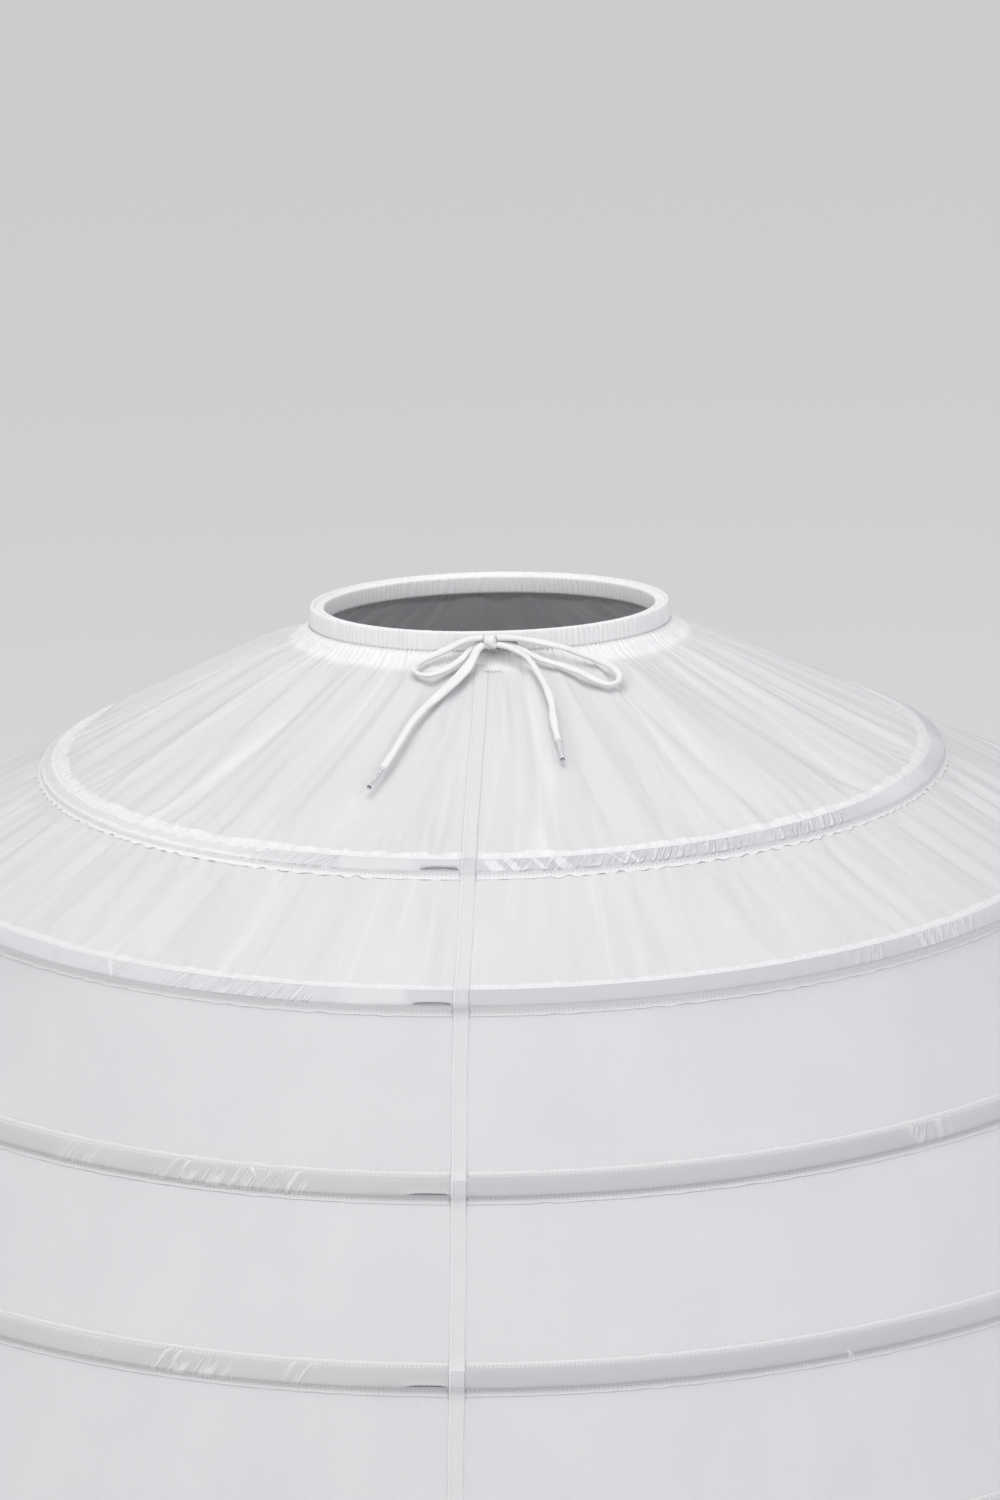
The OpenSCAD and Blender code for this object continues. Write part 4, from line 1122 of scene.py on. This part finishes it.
def waistband():
    n = 1248
    a = angles(n)[:, None]
    x = HALF_W * np.cos(a)
    front = np.sin(a) < 0
    # Rows of the outside, from the top edge down: height, and how far in from the face
    z_rows = np.array([0.0, -0.15, -0.7, -2.0, -3.8, -6.3, -11.7, -12.3, -12.9, -13.4, -13.8, -14.1])
    inset = np.array([2.4, 1.7, 1.0, 0.65, 0.35, -0.05, -0.45, -0.5, -0.1, -0.3, 0.2, 1.0])
    dist = np.abs(x - HOLE_X)
    lens = HOLE_HIGH * np.sqrt(np.clip(1 - (dist / HOLE_HALF) ** 2, 0, 1)) ** 0.6
    beyond = 0.3 + 0.45 * np.maximum(0, dist - HOLE_HALF)
    hole_h = np.where(front, np.where(dist < HOLE_HALF, np.maximum(lens, 0.3), np.minimum(beyond, HOLE_HIGH)),
                      HOLE_HIGH)[:, 0]
    z = np.tile(z_rows, (n, 1))
    z[:, 5] = HOLE_Z + hole_h
    z[:, 6] = HOLE_Z - hole_h
    z[:, 4] = np.maximum(z[:, 4], z[:, 5] + 0.7)
    z[:, 7] = np.minimum(z[:, 7], z[:, 6] - 0.25)
    phase = ripple(a, 5, 30, 131) * 0.9
    depth = 0.40 + 0.24 * ripple(a, 10, 60, 132)
    puff = np.sin(np.clip((-z - 0.4) / (12.6 - 0.4), 0, 1) * math.pi) ** 0.5
    shift = 0.010 * ripple(a, 20, 70, 133) * (z + 7) / 7

    def gathers(turned):
        g = np.sin(196 * turned + 3.2 * phase)
        return np.abs(g) ** 0.8 * np.sign(g)

    near_hole = smooth(dist, HOLE_HALF + 1, HOLE_HALF + 9)
    calm = np.where(front, near_hole, 1.0)
    g = gathers(a + shift)
    d_in = inset[None, :] + depth * (1 - g) * (0.40 + 0.70 * puff) * calm
    d_in = d_in + 0.10 * (1 + ripple(a, 230, 330, 134)) * calm * (1.4 - 0.6 * puff)
    z = z - 0.20 * (1 - g) * calm * np.exp(z / 1.2)
    outer = ring_points(a, HALF_W - d_in, HALF_D - d_in, z)
    # Rows of the inside of the band, from the bottom edge up
    in_d = np.array([3.2, 7.6, 10.0, 10.5, 10.55, 10.5, 10.3, 9.6, 8.6, 7.7, 6.6, 5.3, 4.2, 3.5, 3.0])
    in_z = np.array([-14.1, -14.0, -13.8, -12.2, -7.0, -3.6, -2.4, -1.68, -1.60, -1.95, -3.1, -3.5, -2.9,
                     -1.4, -0.4])
    g = gathers(a)
    deep = np.array([0, 0, 0, 1, 1.2, 1.2, 0.8, 0, 0, 0, 0, 0, 0, 0, 0])
    high = np.array([0, 0, 0, 0, 0, 0, 0, 0.3, 0.5, 0.3, 1, 1, 1, 1, 1])
    dd = in_d[None, :] - 0.22 * (1 + g) * deep[None, :]
    in_z = in_z[None, :] - 0.20 * (1 - g) * high[None, :]
    inner = ring_points(a, HALF_W - dd, HALF_D - dd, in_z)
    loops = np.concatenate([outer, inner], 1)
    m = loops.shape[1]
    # The hollow inside for the cord and the elastic
    cav_d = np.array([3.2, 2.3, 2.3, 2.6, 9.7, 9.5, 8.0, 7.5, 5.3])
    cav_z = np.array([-4.9, 0, 0, -13.0, -13.0, -1.98, -1.98, -4.7, -5.3])
    cz = np.tile(cav_z, (n, 1))
    cz[:, 1], cz[:, 2] = z[:, 5], z[:, 6]
    cd = np.tile(cav_d, (n, 1))
    cav = ring_points(a, HALF_W - cd, HALF_D - cd, cz)
    cols = np.nonzero((dist[:, 0] < HOLE_HALF) & front[:, 0])[0]
    cols = cols[:-1]
    keep = np.ones((n, m), bool)
    keep[cols, 5] = False
    q, ui, vj = ring_quads(n, m, keep=keep)
    u = np.arange(n + 1) / n * 1.10
    v = distance_along(loops[0])
    v = np.append(v, v[-1] + np.linalg.norm(loops[0, 0] - loops[0, -1])) * MM
    uvs = np.stack([u[ui], v[vj]], -1)
    mc = cav.shape[1]
    keep_c = np.ones((n, mc), bool)
    keep_c[cols, 1] = False
    qc, uc, vc = ring_quads(n, mc, base=n * m, keep=keep_c)
    qc = qc[:, ::-1]
    uvc = np.stack([u[uc], (vc * 0.006)], -1)[:, ::-1]
    walls, wall_uv = [], []
    b = n * m
    for i in cols:
        i2 = (i + 1) % n
        walls.append([i * m + 5, i2 * m + 5, b + i2 * mc + 1, b + i * mc + 1])
        walls.append([b + i * mc + 2, b + i2 * mc + 2, i2 * m + 6, i * m + 6])
        wall_uv += [[[u[i], 0.004]] * 4] * 2
    i = cols[0]
    walls.append([i * m + 5, b + i * mc + 1, b + i * mc + 2, i * m + 6])
    i = cols[-1] + 1
    walls.append([i * m + 6, b + i * mc + 2, b + i * mc + 1, i * m + 5])
    wall_uv += [[[0.01, 0.004]] * 4] * 2
    verts = np.vstack([loops.reshape(-1, 3), cav.reshape(-1, 3)]) * MM
    o = mesh_object("waistband_casing", verts, np.vstack([q, qc, walls]),
                    np.vstack([uvs, uvc, wall_uv]), [band_m])
    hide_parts("waistband")
    return o


waistband()


# Stitched buttonhole and bar tack
STITCH_ROWS, STITCH_SIDES = 6, 6


def stitch(p, q, up, r, arch):
    """One stitch: a short thread that leaves the cloth at p, arches over it and goes in again at q."""
    t = np.linspace(0, 1, STITCH_ROWS)
    line = p[None] * (1 - t[:, None]) + q[None] * t[:, None]
    line = line + up[None] * (np.sin(math.pi * t) * arch)[:, None]
    rr = r * (0.55 + 0.45 * np.sin(math.pi * t))
    return tube(line, ellipse(STITCH_ROWS, STITCH_SIDES, rr, rr, 1.0), level=up)


def on_band(x, z, out):
    """A point on the waistband's face near the middle front, in metres."""
    y = -(HALF_D + out) * math.sqrt(1 - (x / (HALF_W + out)) ** 2)
    return np.array([x, y, z]) * MM


def round_hole(t, wide, high):
    """A point of the rounded oblong round the buttonhole, at the angle t."""
    c, s = math.cos(t), math.sin(t)
    return HOLE_X + wide * np.sign(c) * abs(c) ** 0.72, HOLE_Z + high * np.sign(s) * abs(s) ** 0.60


g = np.random.default_rng(5)
FORWARD = np.array([0, -1.0, 0])
HOLE_STITCHES, RIM_THREADS = 92, 46
parts = []
for i in range(HOLE_STITCHES):
    t = (i + 0.5) / HOLE_STITCHES * TAU
    x_in, z_in = round_hole(t, HOLE_HALF - 0.1, HOLE_HIGH)
    x_out, z_out = round_hole(t, HOLE_HALF + 1.45, HOLE_HIGH + 1.45 + g.uniform(-0.12, 0.12))
    p = on_band(x_in, z_in, 0.15)
    q = on_band(x_out, z_out, 0.12)
    add_part(parts, stitch(p, q, FORWARD, 0.00026, 0.00042 + g.uniform(0, 0.0001)))
for i in range(RIM_THREADS):
    p, q = (on_band(*round_hole((i + step) / RIM_THREADS * TAU, HOLE_HALF - 0.1, HOLE_HIGH), 0.25)
            for step in (0.5, 1.5))
    add_part(parts, stitch(p, q, FORWARD, 0.0002, 0.0002))
threads = join_parts("buttonhole_threads", parts, [thread_m])
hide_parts("buttonhole_stitching")

parts = []
for i in range(15):
    down = 19.5 + 0.42 * (i % 3) + 3.4 * (i % 2)
    side = -5.4 + 0.78 * i
    frac = down / (tier_length(1) / MM)
    r = TOP_D + (RR[1] - TOP_D) * frac
    z = RZ[0] + (RZ[1] - RZ[0]) * frac
    nrm = np.array([0, -math.sin(slope(1)), math.cos(slope(1))])
    way = np.array([0, -math.cos(slope(1)), -math.sin(slope(1))])
    here = np.array([1.0, -r, z])
    p = (here + [side, 0, 0] + nrm * 1.5) * MM
    q = (here + [side + 0.75, 0, 0] + way * (3.6 if i % 2 == 0 else -3.2) + nrm * 1.5) * MM
    add_part(parts, stitch(p, q, nrm, 0.00024, 0.0004))
tack = join_parts("seam_bar_tack", parts, [tack_m])


def on_roof(k, side_mm, along, out):
    """A point over channel k: sideways from the centre seam and down from the hoop, in metres."""
    r, z = beside(k, hoop_slope(k), along, crest(k) + out)
    angle = math.radians(SEAM) + side_mm / RR[k]
    return np.array([r * math.cos(angle), r * math.sin(angle), z]) * MM


# Raw threads hang over the edge of hoop 1's slit
parts = []
for i in range(13):
    x = -27.5 + 1.75 * i
    p = on_roof(1, x, g.uniform(0.6, 2.2), 4.0)
    q = on_roof(1, x + g.uniform(-2.6, 2.6), g.uniform(3.8, 5.0), 4.0)
    radial = np.array([math.cos(math.radians(SEAM)), math.sin(math.radians(SEAM)), 0.6])
    add_part(parts, stitch(p, q, radial / np.linalg.norm(radial), 0.00017, 0.0006))
raw = join_parts("slit_raw_threads", parts, [thread_m])


def paint(o, material):
    if not o.material_slots:
        o.data.materials.append(material)
    for s in o.material_slots:
        s.material = material


# The first entry whose text is part of the node's name gives its material
PAINT = (("hoop_", steel_m), ("sleeve_", sleeve_darkened_m), ("waist_elastic", elastic_m),
         ("drawstring_in_band", cord_m), ("buttonhole_stitching", thread_m), ("_aglet", tip_m),
         ("loop", cord_m), ("tail", cord_m), ("bow_knot", cord_m), ("", tier_cloth_m))
for name, o in nodes.items():
    if o.type == "MESH":
        paint(o, next(material for part, material in PAINT if part in name))

# Floor, background and light
FLOOR_Z = -0.8145
FLOOR_RADIUS = 40.0
FLOOR_SIDES = 64
PAPER_SHADE = 0.33
PAPER_GLOW = 0.44


def background_rays(k):
    """1 for rays that show the background, to the camera or in a mirror or glass, and 0 for its light."""
    rays = k.new("ShaderNodeLightPath")
    seen = k.max(rays.outputs["Is Camera Ray"], rays.outputs["Is Glossy Ray"])
    return k.max(seen, rays.outputs["Is Transmission Ray"])


def floor_material():
    """Pale paper. The camera sees a plainer tone of it, which keeps the shadow and doesn't clip."""
    m, nt = tree("floor_paper")
    k = Nodes(nt)
    where = k.new("ShaderNodeTexCoord").outputs["Object"]
    tone = k.noise(where, 0.6, 2.0)
    grain = k.noise(where, 240.0, 2.0)
    colour = k.mix(k.range(tone, 0.3, 0.7), rgb(0.888, 0.888, 0.890), rgb(0.905, 0.905, 0.907))
    surface(k, colour, 0.9, k.bump(grain, 0.0002, 0.3), 0.0, 0.0, 0.2)
    out = next(n for n in nt.nodes if n.type == "OUTPUT_MATERIAL")
    lit = out.inputs["Surface"].links[0].from_socket
    shade = k.new("ShaderNodeBsdfDiffuse")
    shade.inputs["Color"].default_value = rgb(PAPER_SHADE, PAPER_SHADE, PAPER_SHADE)
    glow = k.new("ShaderNodeEmission")
    glow.inputs["Color"].default_value = rgb(0.985, 0.99, 1.0)
    glow.inputs["Strength"].default_value = PAPER_GLOW
    plain = k.new("ShaderNodeAddShader")
    nt.links.new(shade.outputs[0], plain.inputs[0])
    nt.links.new(glow.outputs[0], plain.inputs[1])
    either = k.new("ShaderNodeMixShader")
    nt.links.new(background_rays(k), either.inputs[0])
    nt.links.new(lit, either.inputs[1])
    nt.links.new(plain.outputs[0], either.inputs[2])
    nt.links.new(either.outputs[0], out.inputs["Surface"])
    return m


# The floor reaches past the camera on every side, and no wall hides the back
turns = [i / FLOOR_SIDES * TAU for i in range(FLOOR_SIDES)]
rim = [(FLOOR_RADIUS * math.cos(turn), FLOOR_RADIUS * math.sin(turn), FLOOR_Z) for turn in turns]
me = bpy.data.meshes.new("floor")
me.from_pydata(rim, [], [list(range(FLOOR_SIDES))])
me.materials.append(floor_material())
floor = bpy.data.objects.new("floor", me)
bpy.context.collection.objects.link(floor)

WORLD_LIGHT = 0.52
WORLD_SEEN = 0.62
world = bpy.data.worlds.new("studio")
bpy.context.scene.world = world
world.use_nodes = True
k = Nodes(world.node_tree)
sky = world.node_tree.nodes["Background"]
sky.inputs[0].default_value = rgb(0.97, 0.98, 1.0)
strength = k.add(k.mul(background_rays(k), WORLD_SEEN - WORLD_LIGHT), WORLD_LIGHT)
world.node_tree.links.new(strength, sky.inputs[1])


def lamp(name, place, aim, size, watts, colour):
    d = bpy.data.lights.new(name, "AREA")
    d.shape = "RECTANGLE"
    d.size, d.size_y = size
    d.energy = watts
    d.color = colour
    o = bpy.data.objects.new(name, d)
    bpy.context.collection.objects.link(o)
    o.location = place
    way = np.array(aim, float) - np.array(place, float)
    o.rotation_euler = Vector(way).to_track_quat("-Z", "Y").to_euler()


lamp("top_softbox", (-0.3, -0.9, 2.9), (0, 0, -0.2), (2.6, 2.0), 62, (1.0, 0.998, 0.99))
lamp("left_softbox", (-2.8, -2.7, 1.6), (0, 0, -0.1), (2.0, 2.0), 34, (1.0, 1.0, 1.0))
lamp("right_softbox", (2.8, -2.7, 1.7), (0, 0, -0.1), (2.0, 2.0), 40, (0.97, 0.98, 1.0))

scene = bpy.context.scene
scene.view_settings.view_transform = "Standard"
